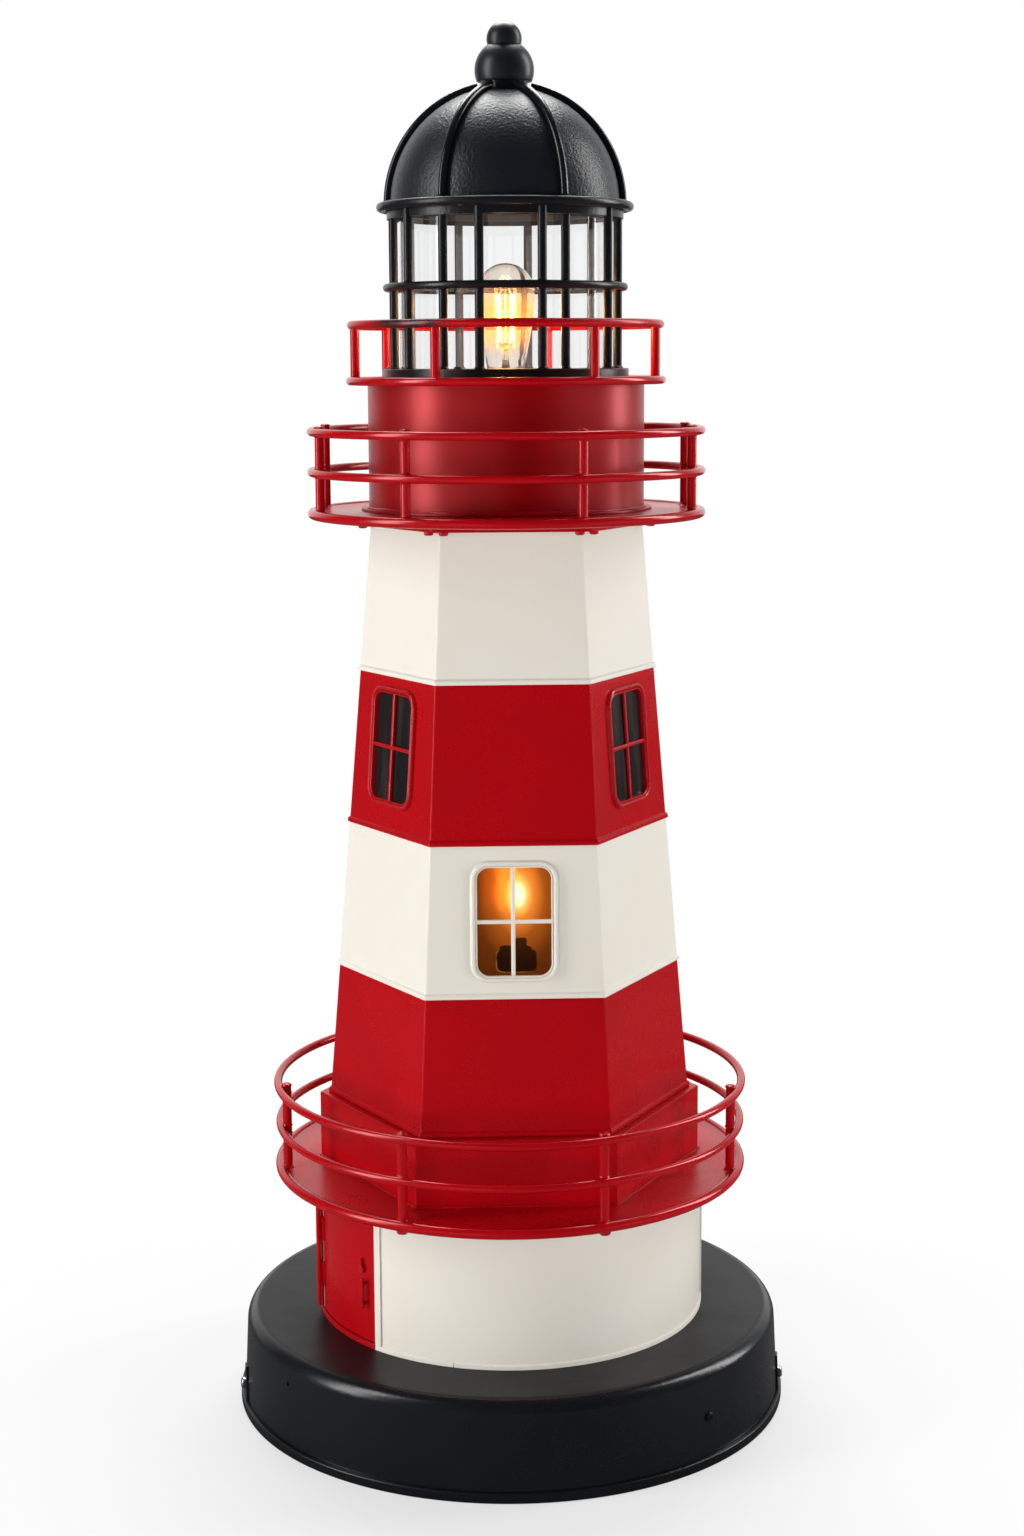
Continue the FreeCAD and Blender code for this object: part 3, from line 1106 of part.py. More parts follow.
def filament_sets():
    """Glass stem with upright filaments round it, in each bulb."""
    pieces = []
    for top in HOLDER_TOPS:
        stem_foot = top + BULB_WALL + STEM_GAP
        stem_top = top + FILAMENT_RISE - SPIDER_THICKNESS
        stem = Part.makeCone(STEM_FOOT_RADIUS, STEM_TOP_RADIUS, stem_top - stem_foot, Vector(0, 0, stem_foot))
        spider = disc(FILAMENT_CIRCLE + 2 * FILAMENT_RADIUS, 0, stem_top, stem_top + SPIDER_THICKNESS)
        low = top + FILAMENT_RISE
        step = 360 / FILAMENT_COUNT
        sticks = [rod(at(FILAMENT_CIRCLE, step * (i + 0.5), low),
                      at(FILAMENT_CIRCLE, step * (i + 0.5), low + FILAMENT_LENGTH), FILAMENT_RADIUS)
                  for i in range(FILAMENT_COUNT)]
        pieces.append(fused(stem, spider, *sticks))
    return group(pieces)


def lamp_bracket():
    """Bent strip under the top deck that carries the lantern's lampholder."""
    floor = LANTERN_HOLDER_TOP - HOLDER_HEIGHT
    inner = HOLDER_RADIUS + BRACKET_ROOM
    outer = inner + SHEET
    foot = outer + BRACKET_FOOT
    under = TOP_DECK - SHEET
    half = [(0, floor - SHEET), (outer, floor - SHEET), (outer, under), (foot, under), (foot, TOP_DECK),
            (inner, TOP_DECK), (inner, floor), (0, floor)]
    points = half + [(-x, z) for x, z in half[-2:0:-1]]
    corners = [Vector(x, -BRACKET_WIDTH / 2, z) for x, z in points]
    strip = Part.Face(Part.makePolygon(corners + corners[:1])).extrude(Vector(0, BRACKET_WIDTH, 0))
    return strip.cut(disc(CABLE_HOLE, 0, floor - CUTTER_REACH, floor + 1))


def cable(angle, holder_floor):
    """Cable from its terminal block, up beside the tower's axis, and in to a lampholder."""
    level = PAN_THICKNESS + BLOCK_HEIGHT / 2
    turn = holder_floor - CABLE_BEND - CABLE_ENTRY
    half = CABLE_BEND * (1 - math.sqrt(0.5))
    bend = CABLE_BEND
    far = CABLE_CIRCLE
    points = [(BLOCK_DISTANCE, level), (far + bend, level), (far + half, level + half), (far, level + bend),
              (far, turn - bend), (far - half, turn - half), (far - bend, turn),
              (bend, turn), (half, turn + half), (0, turn + bend), (0, holder_floor)]
    edges = [line(points[0], points[1]), arc(points[1], points[2], points[3]), line(points[3], points[4]),
             arc(points[4], points[5], points[6]), line(points[6], points[7]),
             arc(points[7], points[8], points[9]), line(points[9], points[10])]
    route = Part.Wire(edges)
    profile = Part.Wire(Part.makeCircle(CABLE_RADIUS, Vector(BLOCK_DISTANCE, 0, level), Vector(1, 0, 0)))
    tube = route.makePipeShell([profile], True, False)
    tube.rotate(Vector(0, 0, 0), UP, angle - 90)
    return tube


def lamp_cables():
    return group([cable(LANTERN_CABLE_ANGLE, LANTERN_HOLDER_TOP - HOLDER_HEIGHT),
                  cable(WINDOW_CABLE_ANGLE, WINDOW_HOLDER_TOP - HOLDER_HEIGHT)])


# ---------------------------------------------------------------- write every node
def save(name, shape):
    shape.exportStep("parts/" + name + ".step")


def main():
    os.makedirs("parts", exist_ok=True)
    save("base_pan", base_pan())
    save("base_housing", base_housing())
    save("ear_screws", ear_screws())
    save("wall_screws", wall_screws())
    save("cord_grommet", cord_grommet())
    save("terminal_blocks", terminal_blocks())
    save("lower_drum", lower_drum())
    save("door_frame", door_frame())
    save("door_jamb_strip", door_jamb_strip())
    save("hinge_leaf", hinge_leaf())
    save("hinge_pin", hinge_pin())
    save("door_panel", door_panel())
    save("door_pull", door_pull())
    save("door_latch", door_latch())
    make_lower_gallery()
    save("tower_plinth", tower_plinth())
    names = ("tower_band_1_red", "tower_band_2_white", "tower_band_3_red", "tower_band_4_white")
    for name, band in zip(names, tower_bands()):
        save(name, band)
    save("front_window_frame", window_frame(*FRONT_WINDOW))
    save("front_window_pane", window_pane(*FRONT_WINDOW))
    save("side_window_frames", group([window_frame(*w) for w in SIDE_WINDOWS]))
    save("side_window_panes", group([window_pane(*w) for w in SIDE_WINDOWS]))
    save("lamp_shelf", lamp_shelf())
    save("tower_cap", tower_cap())
    save("cap_screws", cap_screws())
    make_middle_gallery()
    save("upper_drum", upper_drum())
    make_top_gallery()
    make_lantern()
    save("lampholders", lampholders())
    save("bulb_caps", bulb_caps())
    save("bulb_glasses", group([bulb_glass(top) for top in HOLDER_TOPS]))
    save("bulb_filaments", filament_sets())
    save("lamp_bracket", lamp_bracket())
    save("lamp_cables", lamp_cables())
    make_roof()


main()
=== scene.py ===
import json
import math
import random

import bmesh
import bpy
from mathutils import Matrix, Vector


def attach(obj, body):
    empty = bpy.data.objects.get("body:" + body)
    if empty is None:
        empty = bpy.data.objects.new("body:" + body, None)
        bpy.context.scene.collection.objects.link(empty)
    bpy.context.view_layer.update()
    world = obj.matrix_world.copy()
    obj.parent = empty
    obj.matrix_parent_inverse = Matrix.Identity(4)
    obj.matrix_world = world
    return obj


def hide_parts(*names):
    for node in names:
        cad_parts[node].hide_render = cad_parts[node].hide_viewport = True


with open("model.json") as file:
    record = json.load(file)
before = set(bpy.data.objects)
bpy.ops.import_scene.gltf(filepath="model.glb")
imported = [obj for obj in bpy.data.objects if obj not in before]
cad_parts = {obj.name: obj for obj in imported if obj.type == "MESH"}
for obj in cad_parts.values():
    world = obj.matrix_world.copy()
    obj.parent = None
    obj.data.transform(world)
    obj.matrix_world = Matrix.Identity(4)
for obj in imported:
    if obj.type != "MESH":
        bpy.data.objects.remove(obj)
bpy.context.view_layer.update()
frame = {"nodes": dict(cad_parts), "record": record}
nodes = frame["nodes"]
MM = 0.001


# ------------------------------------------------------------------ camera
LENS_MM = 57.28
SENSOR_MM = 36.0
CAMERA_PLACE = Vector((0.00315, -1.9012, 0.828))
CAMERA_TURN = -2.2             # degrees about the tower's axis, from square to the front face
CAMERA_PITCH = 9.45            # degrees below the horizon
CAMERA_ROLL = -0.293


def add_camera():
    data = bpy.data.cameras.new("camera")
    data.lens = LENS_MM
    data.sensor_width = SENSOR_MM
    camera = bpy.data.objects.new("camera", data)
    bpy.context.scene.collection.objects.link(camera)
    camera.matrix_world = (
        Matrix.Rotation(math.radians(CAMERA_TURN), 4, "Z")
        @ Matrix.Translation(CAMERA_PLACE)
        @ Matrix.Rotation(math.radians(90 - CAMERA_PITCH), 4, "X")
        @ Matrix.Rotation(math.radians(CAMERA_ROLL), 4, "Z")
    )
    bpy.context.scene.camera = camera


# ------------------------------------------------------------------ node helpers
class Shader:
    """A material's node tree, with short calls to add and join nodes."""

    def __init__(self, name):
        self.material = bpy.data.materials.new(name)
        self.material.use_nodes = True
        self.tree = self.material.node_tree
        self.tree.nodes.clear()
        self.output = self.add("ShaderNodeOutputMaterial")

    def add(self, kind, **settings):
        node = self.tree.nodes.new(kind)
        for key, value in settings.items():
            setattr(node, key, value)
        return node

    def join(self, out_socket, in_socket):
        self.tree.links.new(out_socket, in_socket)

    def feed(self, socket, value):
        if isinstance(value, bpy.types.NodeSocket):
            self.join(value, socket)
        elif isinstance(value, tuple) and len(value) == 3 and socket.type == "RGBA":
            socket.default_value = (*value, 1.0)
        elif value is not None:
            socket.default_value = value

    def set(self, node, **values):
        for key, value in values.items():
            self.feed(node.inputs[key.replace("_", " ")], value)
        return node

    def principled(self, **values):
        return self.set(self.add("ShaderNodeBsdfPrincipled"), **values)

    def place(self):
        """Position in the object's own frame, in metres."""
        return self.add("ShaderNodeTexCoord").outputs["Object"]

    def axis(self, letter):
        node = self.add("ShaderNodeSeparateXYZ")
        self.join(self.place(), node.inputs[0])
        return node.outputs[letter]

    def distance_to(self, point):
        node = self.add("ShaderNodeVectorMath", operation="DISTANCE")
        self.join(self.place(), node.inputs[0])
        node.inputs[1].default_value = point
        return node.outputs["Value"]

    def noise(self, scale, detail=3.0, roughness=0.5, stretch=(1, 1, 1)):
        node = self.add("ShaderNodeTexNoise")
        mapping = self.add("ShaderNodeMapping")
        mapping.inputs["Scale"].default_value = stretch
        self.join(self.place(), mapping.inputs["Vector"])
        self.join(mapping.outputs["Vector"], node.inputs["Vector"])
        node.inputs["Scale"].default_value = scale
        node.inputs["Detail"].default_value = detail
        node.inputs["Roughness"].default_value = roughness
        return node.outputs["Fac"]

    def ranged(self, value, low, high, from_low=0.0, from_high=1.0, smooth=False):
        node = self.add("ShaderNodeMapRange")
        node.interpolation_type = "SMOOTHSTEP" if smooth else "LINEAR"
        self.join(value, node.inputs["Value"])
        node.inputs["From Min"].default_value = from_low
        node.inputs["From Max"].default_value = from_high
        node.inputs["To Min"].default_value = low
        node.inputs["To Max"].default_value = high
        return node.outputs["Result"]

    def maths(self, kind, a, b=None):
        node = self.add("ShaderNodeMath", operation=kind)
        for socket, value in zip(node.inputs, (a, b)):
            self.feed(socket, value)
        return node.outputs[0]

    def blended(self, factor, first, second):
        """Colour mixed from two colours or sockets."""
        node = self.add("ShaderNodeMix", data_type="RGBA")
        self.feed(node.inputs[0], factor)
        self.feed(node.inputs[6], first)
        self.feed(node.inputs[7], second)
        return node.outputs[2]

    def bump(self, height, distance, strength=1.0, normal=None):
        node = self.add("ShaderNodeBump")
        node.inputs["Strength"].default_value = strength
        node.inputs["Distance"].default_value = distance
        self.join(height, node.inputs["Height"])
        if normal is not None:
            self.join(normal, node.inputs["Normal"])
        return node.outputs["Normal"]

    def mixed(self, factor, first, second):
        """Shader mixed from two shaders."""
        node = self.add("ShaderNodeMixShader")
        self.feed(node.inputs[0], factor)
        self.join(first, node.inputs[1])
        self.join(second, node.inputs[2])
        return node.outputs[0]

    def finish(self, shader_socket):
        self.join(shader_socket, self.output.inputs["Surface"])
        return self.material


# ------------------------------------------------------------------ materials
RED = (0.45, 0.0016, 0.006)
RED_DEEP = (0.39, 0.0010, 0.004)
CREAM = (0.757, 0.724, 0.652)
CREAM_WARM = (0.735, 0.692, 0.608)
BLACK = (0.0062, 0.0070, 0.0088)
BLACK_DEEP = (0.0040, 0.0046, 0.0060)
BARE_INSIDE = (0.62, 0.55, 0.46)
DOME_BLACK = (0.0080, 0.0098, 0.0140)
DRUM_RED = (0.36, 0.0012, 0.004)
DRUM_RED_DEEP = (0.31, 0.0008, 0.003)
RED_ROUGHNESS = 0.27
RED_METALLIC = 0.12
CREAM_ROUGHNESS = 0.36
FLAT_WAVE = 0.00015                         # height of the waves in flat red sheet, in metres
FLAT_SPECULAR = 0.2
GLASS_IOR = 1.45

DULL_FROM, DULL_TO = 0.92, 0.995            # a normal's upward part where a top face turns dull
DULL_ROUGHNESS = 0.16                       # added there
DULL_SPECULAR = 0.35                        # and multiplied there
OVERSPRAY_LEFT = (-0.110, -0.088)           # metres across where the overspray fades in
OVERSPRAY_RIGHT = (-0.062, -0.040)          # and out
OVERSPRAY_FRONT = (-0.070, -0.045)          # and front to back, where it fades out

# the middle of each lamp's filaments, in metres
LANTERN_CORE = (0.0, 0.0, 0.862)
WINDOW_CORE = (0.0, 0.0, 0.420)
# painted glow in the bulb glass round the filaments: its colour, strength and reach
BULB_PAINTED_GLOW_COLOUR = (1.0, 0.38, 0.06)
BULB_PAINTED_GLOW = 0.36
BULB_NEAR = 0.016                           # full painted glow up to here, in metres from the filaments
BULB_FAR = 0.034                            # and none from here on
BULB_TINT_FAR = 0.036                       # where its painted warm tint ends

# hot spot of the painted glow on the amber pane, standing in for the lamp's light shining through it
PANE_HOT_SPOT = (0.0032, 0.4335)            # across and up, in metres
PANE_SQUEEZE = 0.62                         # heights count this much, so the painted glow is taller than wide
PANE_REACH = 60.0
# millimetres out from the painted hot spot, and the painted light there
PANE_PAINTED_GLOW = ((0.0, (1.0, 0.97, 0.80)), (4.3, (1.0, 0.90, 0.58)), (6.6, (1.0, 0.52, 0.14)),
             (11.0, (0.62, 0.205, 0.028)), (20.0, (0.26, 0.068, 0.0065)), (33.0, (0.078, 0.018, 0.0015)),
             (60.0, (0.024, 0.005, 0.0005)))
# the lampholder's painted silhouette on the pane: middle, lowest, highest and half width of three blocks, in
# mm
HOLDER_PAINTED_SHADOW = ((1.6, 375.0, 392.5, 15.2), (0.6, 384.0, 395.5, 12.4), (4.6, 390.0, 401.0, 4.8))
HOLDER_SQUARENESS = 5.0                     # 2 would make each block an ellipse
HOLDER_EDGE = (0.75, 1.30)                  # softness of the painted silhouette's edge
HOLDER_LIGHT = 0.15                         # share of the painted glow that is left inside it
# colour of the painted highlight along the silhouette's rim
HOLDER_PAINTED_RIM = (1.0, 0.40, 0.06)


def powder_coat(name, colour, shade, roughness, peel=0.00006, wave=0.0005, overlay=None, metallic=0.0,
                specular=0.5, dull_top=False):
    """Satin powder coat: orange peel, slow waves in the sheet, soft mottling of colour and gloss.

    peel and wave are heights in metres.
    """
    s = Shader(name)
    mottle = s.noise(14.0, 4.0)
    grain = s.noise(900.0, 2.0)
    colour_socket = s.blended(s.ranged(mottle, 0.0, 1.0, 0.35, 0.75), colour, shade)
    if overlay is not None:
        colour_socket = overlay(s, colour_socket)
    rough = s.maths("ADD", s.ranged(mottle, roughness - 0.03, roughness + 0.05, 0.3, 0.7),
                    s.ranged(grain, -0.03, 0.03))
    if dull_top:
        spot = s.add("ShaderNodeNewGeometry")
        split = s.add("ShaderNodeSeparateXYZ")
        s.join(spot.outputs["Normal"], split.inputs[0])
        level = s.ranged(split.outputs["Z"], 0.0, 1.0, DULL_FROM, DULL_TO, True)
        rough = s.maths("ADD", rough, s.maths("MULTIPLY", level, DULL_ROUGHNESS))
        specular = s.ranged(level, specular, specular * DULL_SPECULAR)
    waves = s.bump(s.noise(26.0, 2.0, stretch=(1, 1, 0.3)), wave, 0.35)
    normal = s.bump(s.noise(430.0, 2.0), peel, 1.0, waves)
    shader = s.principled(Base_Color=colour_socket, Roughness=rough, Normal=normal, Metallic=metallic)
    s.feed(shader.inputs["Specular IOR Level"], specular)
    return s.finish(shader.outputs[0])


def bare_inside(s, colour):
    """Unpainted sheet on the faces that look at the tower's axis."""
    spot = s.add("ShaderNodeNewGeometry")
    level = s.add("ShaderNodeVectorMath", operation="MULTIPLY")
    s.join(spot.outputs["Position"], level.inputs[0])
    level.inputs[1].default_value = (1, 1, 0)
    facing = s.add("ShaderNodeVectorMath", operation="DOT_PRODUCT")
    s.join(level.outputs["Vector"], facing.inputs[0])
    s.join(spot.outputs["True Normal"], facing.inputs[1])
    return s.blended(s.ranged(facing.outputs["Value"], 1.0, 0.0, -0.03, -0.01), colour, BARE_INSIDE)


def overspray(s, colour):
    """Dark overspray on the left front of the top gallery's rail."""
    x = s.axis("X")
    left = s.maths("MULTIPLY", s.ranged(x, 1.0, 0.0, *OVERSPRAY_RIGHT, True),
                   s.ranged(x, 0.0, 1.0, *OVERSPRAY_LEFT, True))
    front = s.ranged(s.axis("Y"), 1.0, 0.0, *OVERSPRAY_FRONT, True)
    patchy = s.ranged(s.noise(90.0, 4.0), 0.55, 1.0, 0.3, 0.6)
    mask = s.maths("MULTIPLY", s.maths("MULTIPLY", left, front), patchy)
    return s.blended(mask, colour, BLACK)


def plain_metal(name, colour, roughness):
    """Bare metal with fine level scratches."""
    s = Shader(name)
    scratches = s.noise(300.0, 3.0, stretch=(1, 1, 6))
    darker = tuple(c * 0.8 for c in colour)
    shader = s.principled(Base_Color=s.blended(scratches, colour, darker), Metallic=1.0,
                          Roughness=s.ranged(scratches, roughness - 0.08, roughness + 0.12))
    return s.finish(shader.outputs[0])


def moulded(name, colour, roughness):
    """Dark plastic or rubber with a fine grain."""
    s = Shader(name)
    grain = s.noise(700.0, 3.0)
    lighter = tuple(c * 1.4 for c in colour)
    shader = s.principled(Base_Color=s.blended(grain, colour, lighter),
                          Roughness=s.ranged(grain, roughness - 0.05, roughness + 0.08),
                          Normal=s.bump(grain, 0.00003))
    return s.finish(shader.outputs[0])


def shadow_free(s, shader_socket, tint):
    """Lets shadow rays through a glass, so that lamps behind it light what is in front."""
    clear = s.add("ShaderNodeBsdfTransparent")
    clear.inputs["Color"].default_value = (*tint, 1.0)
    path = s.add("ShaderNodeLightPath")
    return s.mixed(path.outputs["Is Shadow Ray"], shader_socket, clear.outputs[0])


def clear_glass(name, tint):
    """Clear lantern glass, a little greyer in soft upright bands."""
    s = Shader(name)
    bands = s.noise(22.0, 1.0, stretch=(1, 1, 0.04))
    greyer = tuple(c * 0.95 for c in tint)
    shader = s.principled(Base_Color=s.blended(s.ranged(bands, 0.0, 1.0, 0.35, 0.7), tint, greyer),
                          IOR=GLASS_IOR, Roughness=0.0)
    shader.inputs["Transmission Weight"].default_value = 1.0
    return s.finish(shadow_free(s, shader.outputs[0], tint))


def bulb_glass(name):
    """Blown bulb glass, amber at its edges, with a painted glow and a painted warm tint round the glowing
    filaments of either lamp.
    """
    s = Shader(name)
    near = s.maths("MINIMUM", s.distance_to(LANTERN_CORE), s.distance_to(WINDOW_CORE))
    swirl = s.noise(90.0, 2.0)
    tint = s.blended(swirl, (0.985, 0.955, 0.91), (0.97, 0.92, 0.85))
    # painted warm light: the glass is tinted warmer near the filaments
    tint = s.blended(s.ranged(near, 1.0, 0.0, BULB_NEAR, BULB_TINT_FAR, True), tint, (1.0, 0.70, 0.34))
    edge = s.add("ShaderNodeLayerWeight")
    edge.inputs["Blend"].default_value = 0.5
    tint = s.blended(s.ranged(edge.outputs["Facing"], 0.0, 0.9, 0.70, 0.98), tint, (0.74, 0.38, 0.13))
    shader = s.principled(Base_Color=tint, IOR=GLASS_IOR, Roughness=0.0)
    shader.inputs["Transmission Weight"].default_value = 1.0
    shader.inputs["Emission Color"].default_value = (*BULB_PAINTED_GLOW_COLOUR, 1.0)
    # painted glow: the glass itself shines near the filaments
    s.join(s.ranged(near, BULB_PAINTED_GLOW, 0.0, BULB_NEAR, BULB_FAR, True), shader.inputs["Emission Strength"])
    return s.finish(shadow_free(s, shader.outputs[0], (1.0, 0.95, 0.85)))


def painted_pane_glow(s, cloud):
    """Colour of the painted light in the pane, by the distance from its painted hot spot."""
    x = s.maths("SUBTRACT", s.axis("X"), PANE_HOT_SPOT[0])
    z = s.maths("MULTIPLY", s.maths("SUBTRACT", s.axis("Z"), PANE_HOT_SPOT[1]), PANE_SQUEEZE)
    far = s.maths("POWER", s.maths("ADD", s.maths("MULTIPLY", x, x), s.maths("MULTIPLY", z, z)), 0.5)
    far = s.maths("MULTIPLY", far, s.ranged(cloud, 0.94, 1.06, 0.3, 0.7))
    painted_glow = s.add("ShaderNodeValToRGB")
    ramp = painted_glow.color_ramp
    while len(ramp.elements) < len(PANE_PAINTED_GLOW):
        ramp.elements.new(0.5)
    for element, (where, colour) in zip(ramp.elements, PANE_PAINTED_GLOW):
        element.position = where / PANE_REACH
        element.color = (*colour, 1.0)
    s.join(s.ranged(far, 0.0, 1.0, 0.0, PANE_REACH * MM), painted_glow.inputs["Fac"])
    return painted_glow.outputs["Color"]


def painted_holder_silhouette(s):
    """1 inside the lampholder's painted silhouette on the pane, 0 outside it."""
    shape = None
    for middle, low, high, half in HOLDER_PAINTED_SHADOW:
        level = (low + high) / 2 * MM
        reach = (high - low) / 2 * MM
        across = s.maths("DIVIDE", s.maths("SUBTRACT", s.axis("X"), middle * MM), half * MM)
        up = s.maths("DIVIDE", s.maths("SUBTRACT", s.axis("Z"), level), reach)
        size = s.maths("ADD", s.maths("POWER", s.maths("ABSOLUTE", across), HOLDER_SQUARENESS),
                       s.maths("POWER", s.maths("ABSOLUTE", up), HOLDER_SQUARENESS))
        inside = s.ranged(size, 1.0, 0.0, *HOLDER_EDGE, True)
        shape = inside if shape is None else s.maths("MAXIMUM", shape, inside)
    return shape


def amber_pane(name):
    """Hammered amber glass with painted light: a painted glow, hot at the lamp and brown at the corners, and
    a painted dark lampholder silhouette with a painted highlight at its rim.
    """
    s = Shader(name)
    cloud = s.noise(420.0, 3.0)
    # painted glow: the pane shines as if lit by the lamp behind it
    painted_glow = painted_pane_glow(s, cloud)
    # painted shadow: the lampholder's silhouette, dark against the painted glow
    shape = painted_holder_silhouette(s)
    # painted highlight: a warm glinting line along the silhouette's edge
    painted_rim = s.maths("MULTIPLY", s.maths("MULTIPLY", shape, s.maths("SUBTRACT", 1.0, shape)),
                  s.ranged(s.noise(130.0, 2.0), 0.0, 1.1, 0.42, 0.62))
    # painted light, dimmed inside the painted silhouette
    light = s.maths("MULTIPLY", s.ranged(shape, 1.0, HOLDER_LIGHT), s.ranged(cloud, 0.85, 1.1, 0.3, 0.7))
    clear = s.blended(cloud, (0.22, 0.070, 0.008), (0.17, 0.052, 0.006))
    # painted shade: the glass is darker inside the silhouette
    shader = s.principled(Base_Color=s.blended(shape, clear, (0.05, 0.016, 0.002)), IOR=GLASS_IOR,
                          Roughness=s.ranged(cloud, 0.16, 0.24), Normal=s.bump(cloud, 0.00025, 0.5))
    shader.inputs["Transmission Weight"].default_value = 1.0
    s.join(s.blended(painted_rim, painted_glow, HOLDER_PAINTED_RIM), shader.inputs["Emission Color"])
    s.join(s.maths("ADD", light, painted_rim), shader.inputs["Emission Strength"])
    return s.finish(shadow_free(s, shader.outputs[0], (1.0, 0.55, 0.2)))


def dark_pane(name):
    """Dark window glass with faint upright streaks."""
    s = Shader(name)
    streaks = s.noise(120.0, 3.0, stretch=(1, 1, 0.05))
    colour = s.blended(s.ranged(streaks, 0.0, 1.0, 0.5, 0.8), (0.010, 0.009, 0.009), (0.035, 0.028, 0.025))
    shader = s.principled(Base_Color=colour, Roughness=s.ranged(streaks, 0.10, 0.30),
                          Normal=s.bump(streaks, 0.00008, 0.5))
    return s.finish(shader.outputs[0])


def glowing(name, colour, strength):
    """Hot wire whose brightness varies a little along it."""
    s = Shader(name)
    flicker = s.noise(400.0, 2.0)
    shader = s.principled(Base_Color=(*colour, 1.0), Roughness=0.4)
    shader.inputs["Emission Color"].default_value = (*colour, 1.0)
    s.join(s.ranged(flicker, strength * 0.8, strength * 1.2), shader.inputs["Emission Strength"])
    return s.finish(shader.outputs[0])


MATERIALS = {
    "red_paint": powder_coat("red_paint", RED, RED_DEEP, RED_ROUGHNESS, metallic=RED_METALLIC),
    "cream_paint": powder_coat("cream_paint", CREAM, CREAM_WARM, CREAM_ROUGHNESS),
    "black_paint": powder_coat("black_paint", BLACK, BLACK_DEEP, 0.29, peel=0.00016, specular=0.4),
    "zinc_steel": plain_metal("zinc_steel", (0.62, 0.62, 0.63), 0.3),
    "clear_glass": clear_glass("clear_glass", (0.99, 0.993, 0.995)),
    "bulb_glass": bulb_glass("bulb_glass"),
    "amber_pane": amber_pane("amber_pane"),
    "dark_pane": dark_pane("dark_pane"),
    "filament": glowing("filament", (1.0, 0.62, 0.26), 20.0),
    "cap_metal": plain_metal("cap_metal", (0.75, 0.73, 0.68), 0.3),
    "black_plastic": moulded("black_plastic", (0.015, 0.015, 0.015), 0.45),
    "rubber": moulded("rubber", (0.012, 0.012, 0.012), 0.7),
    "cable_jacket": moulded("cable_jacket", (0.02, 0.02, 0.02), 0.5),
}
# the same paints where they are glossier, duller, patchy or bare inside
RAIL_RED = powder_coat("red_paint_rails", RED, RED_DEEP, 0.18, peel=0.00002, wave=0.00008,
                       metallic=RED_METALLIC)
GLOSSY_REDS = ("lower_deck_rim", "lower_posts", "lower_mid_rail", "lower_top_rail",
               "middle_deck_rim", "middle_posts", "middle_mid_rail", "middle_top_rail",
               "top_deck_rim", "top_posts", "door_pull")
FINISHES = {
    **{name: RAIL_RED for name in GLOSSY_REDS},
    "top_rail": powder_coat("red_paint_oversprayed", RED, RED_DEEP, RED_ROUGHNESS, overlay=overspray,
                            metallic=RED_METALLIC),
    "upper_drum": powder_coat("red_paint_drum", DRUM_RED, DRUM_RED_DEEP, 0.34, metallic=0.36),
    "base_housing": powder_coat("black_paint_base", BLACK, BLACK_DEEP, 0.24, peel=0.00012, specular=0.55,
                                dull_top=True),
    "dome_shell": powder_coat("black_paint_dome", DOME_BLACK, BLACK, 0.36, peel=0.00045),
    "finial_cap": powder_coat("black_paint_cap", DOME_BLACK, BLACK, 0.36, peel=0.00004),
    "finial_tip": powder_coat("black_paint_tip", DOME_BLACK, BLACK, 0.36, peel=0.00004),
    "door_panel": powder_coat("red_paint_door", RED, RED_DEEP, RED_ROUGHNESS, wave=FLAT_WAVE,
                              metallic=RED_METALLIC, specular=FLAT_SPECULAR),
    "dome_ribs": powder_coat("black_paint_ribs", BLACK, BLACK_DEEP, 0.20, peel=0.00008),
}
RED_BARE_INSIDE = powder_coat("red_paint_bare_inside", RED, RED_DEEP, RED_ROUGHNESS, wave=FLAT_WAVE,
                              overlay=bare_inside, metallic=RED_METALLIC, specular=FLAT_SPECULAR)
CREAM_BARE_INSIDE = powder_coat("cream_paint_bare_inside", CREAM, CREAM_WARM, CREAM_ROUGHNESS,
                                overlay=bare_inside)


def paint_cad_nodes():
    """Gives each CAD node its slot's material, or its own finish."""
    for part in frame["record"]["subparts"]:
        mesh = nodes[part["node"]].data
        mesh.materials.clear()
        mesh.materials.append(MATERIALS[part["material_slot"]])
    for name, finish in FINISHES.items():
        nodes[name].data.materials[0] = finish


# ------------------------------------------------------------------ mesh helpers, sizes in mm
CREASE = 35.0                  # degrees between faces from which an edge stays sharp


def outward(angle):
    """Unit vector away from the axis, at an angle in degrees from the front towards +X."""
    turn = math.radians(angle)
    return Vector((math.sin(turn), -math.cos(turn), 0))


def at(radius, angle, z):
    return outward(angle) * radius + Vector((0, 0, z))


def outward_mesh(name, verts, faces):
    """Mesh in metres from vertices in mm, with its faces turned outwards."""
    mesh = bpy.data.meshes.new(name)
    mesh.from_pydata([Vector(v) * MM for v in verts], [], faces)
    work = bmesh.new()
    work.from_mesh(mesh)
    bmesh.ops.recalc_face_normals(work, faces=work.faces)
    work.to_mesh(mesh)
    work.free()
    return mesh


def smooth(mesh):
    """Shades a mesh smooth, except at its creases."""
    mesh.shade_smooth()
    mesh.set_sharp_from_angle(angle=math.radians(CREASE))


def piece(name, verts, faces, slot, body="tower", replaced=()):
    """Mesh piece that rides on a body."""
    mesh = outward_mesh(name, verts, faces)
    smooth(mesh)
    mesh.materials.append(MATERIALS[slot])
    obj = bpy.data.objects.new(name, mesh)
    bpy.context.scene.collection.objects.link(obj)
    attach(obj, body)
    if replaced:
        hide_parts(*replaced)
    return obj


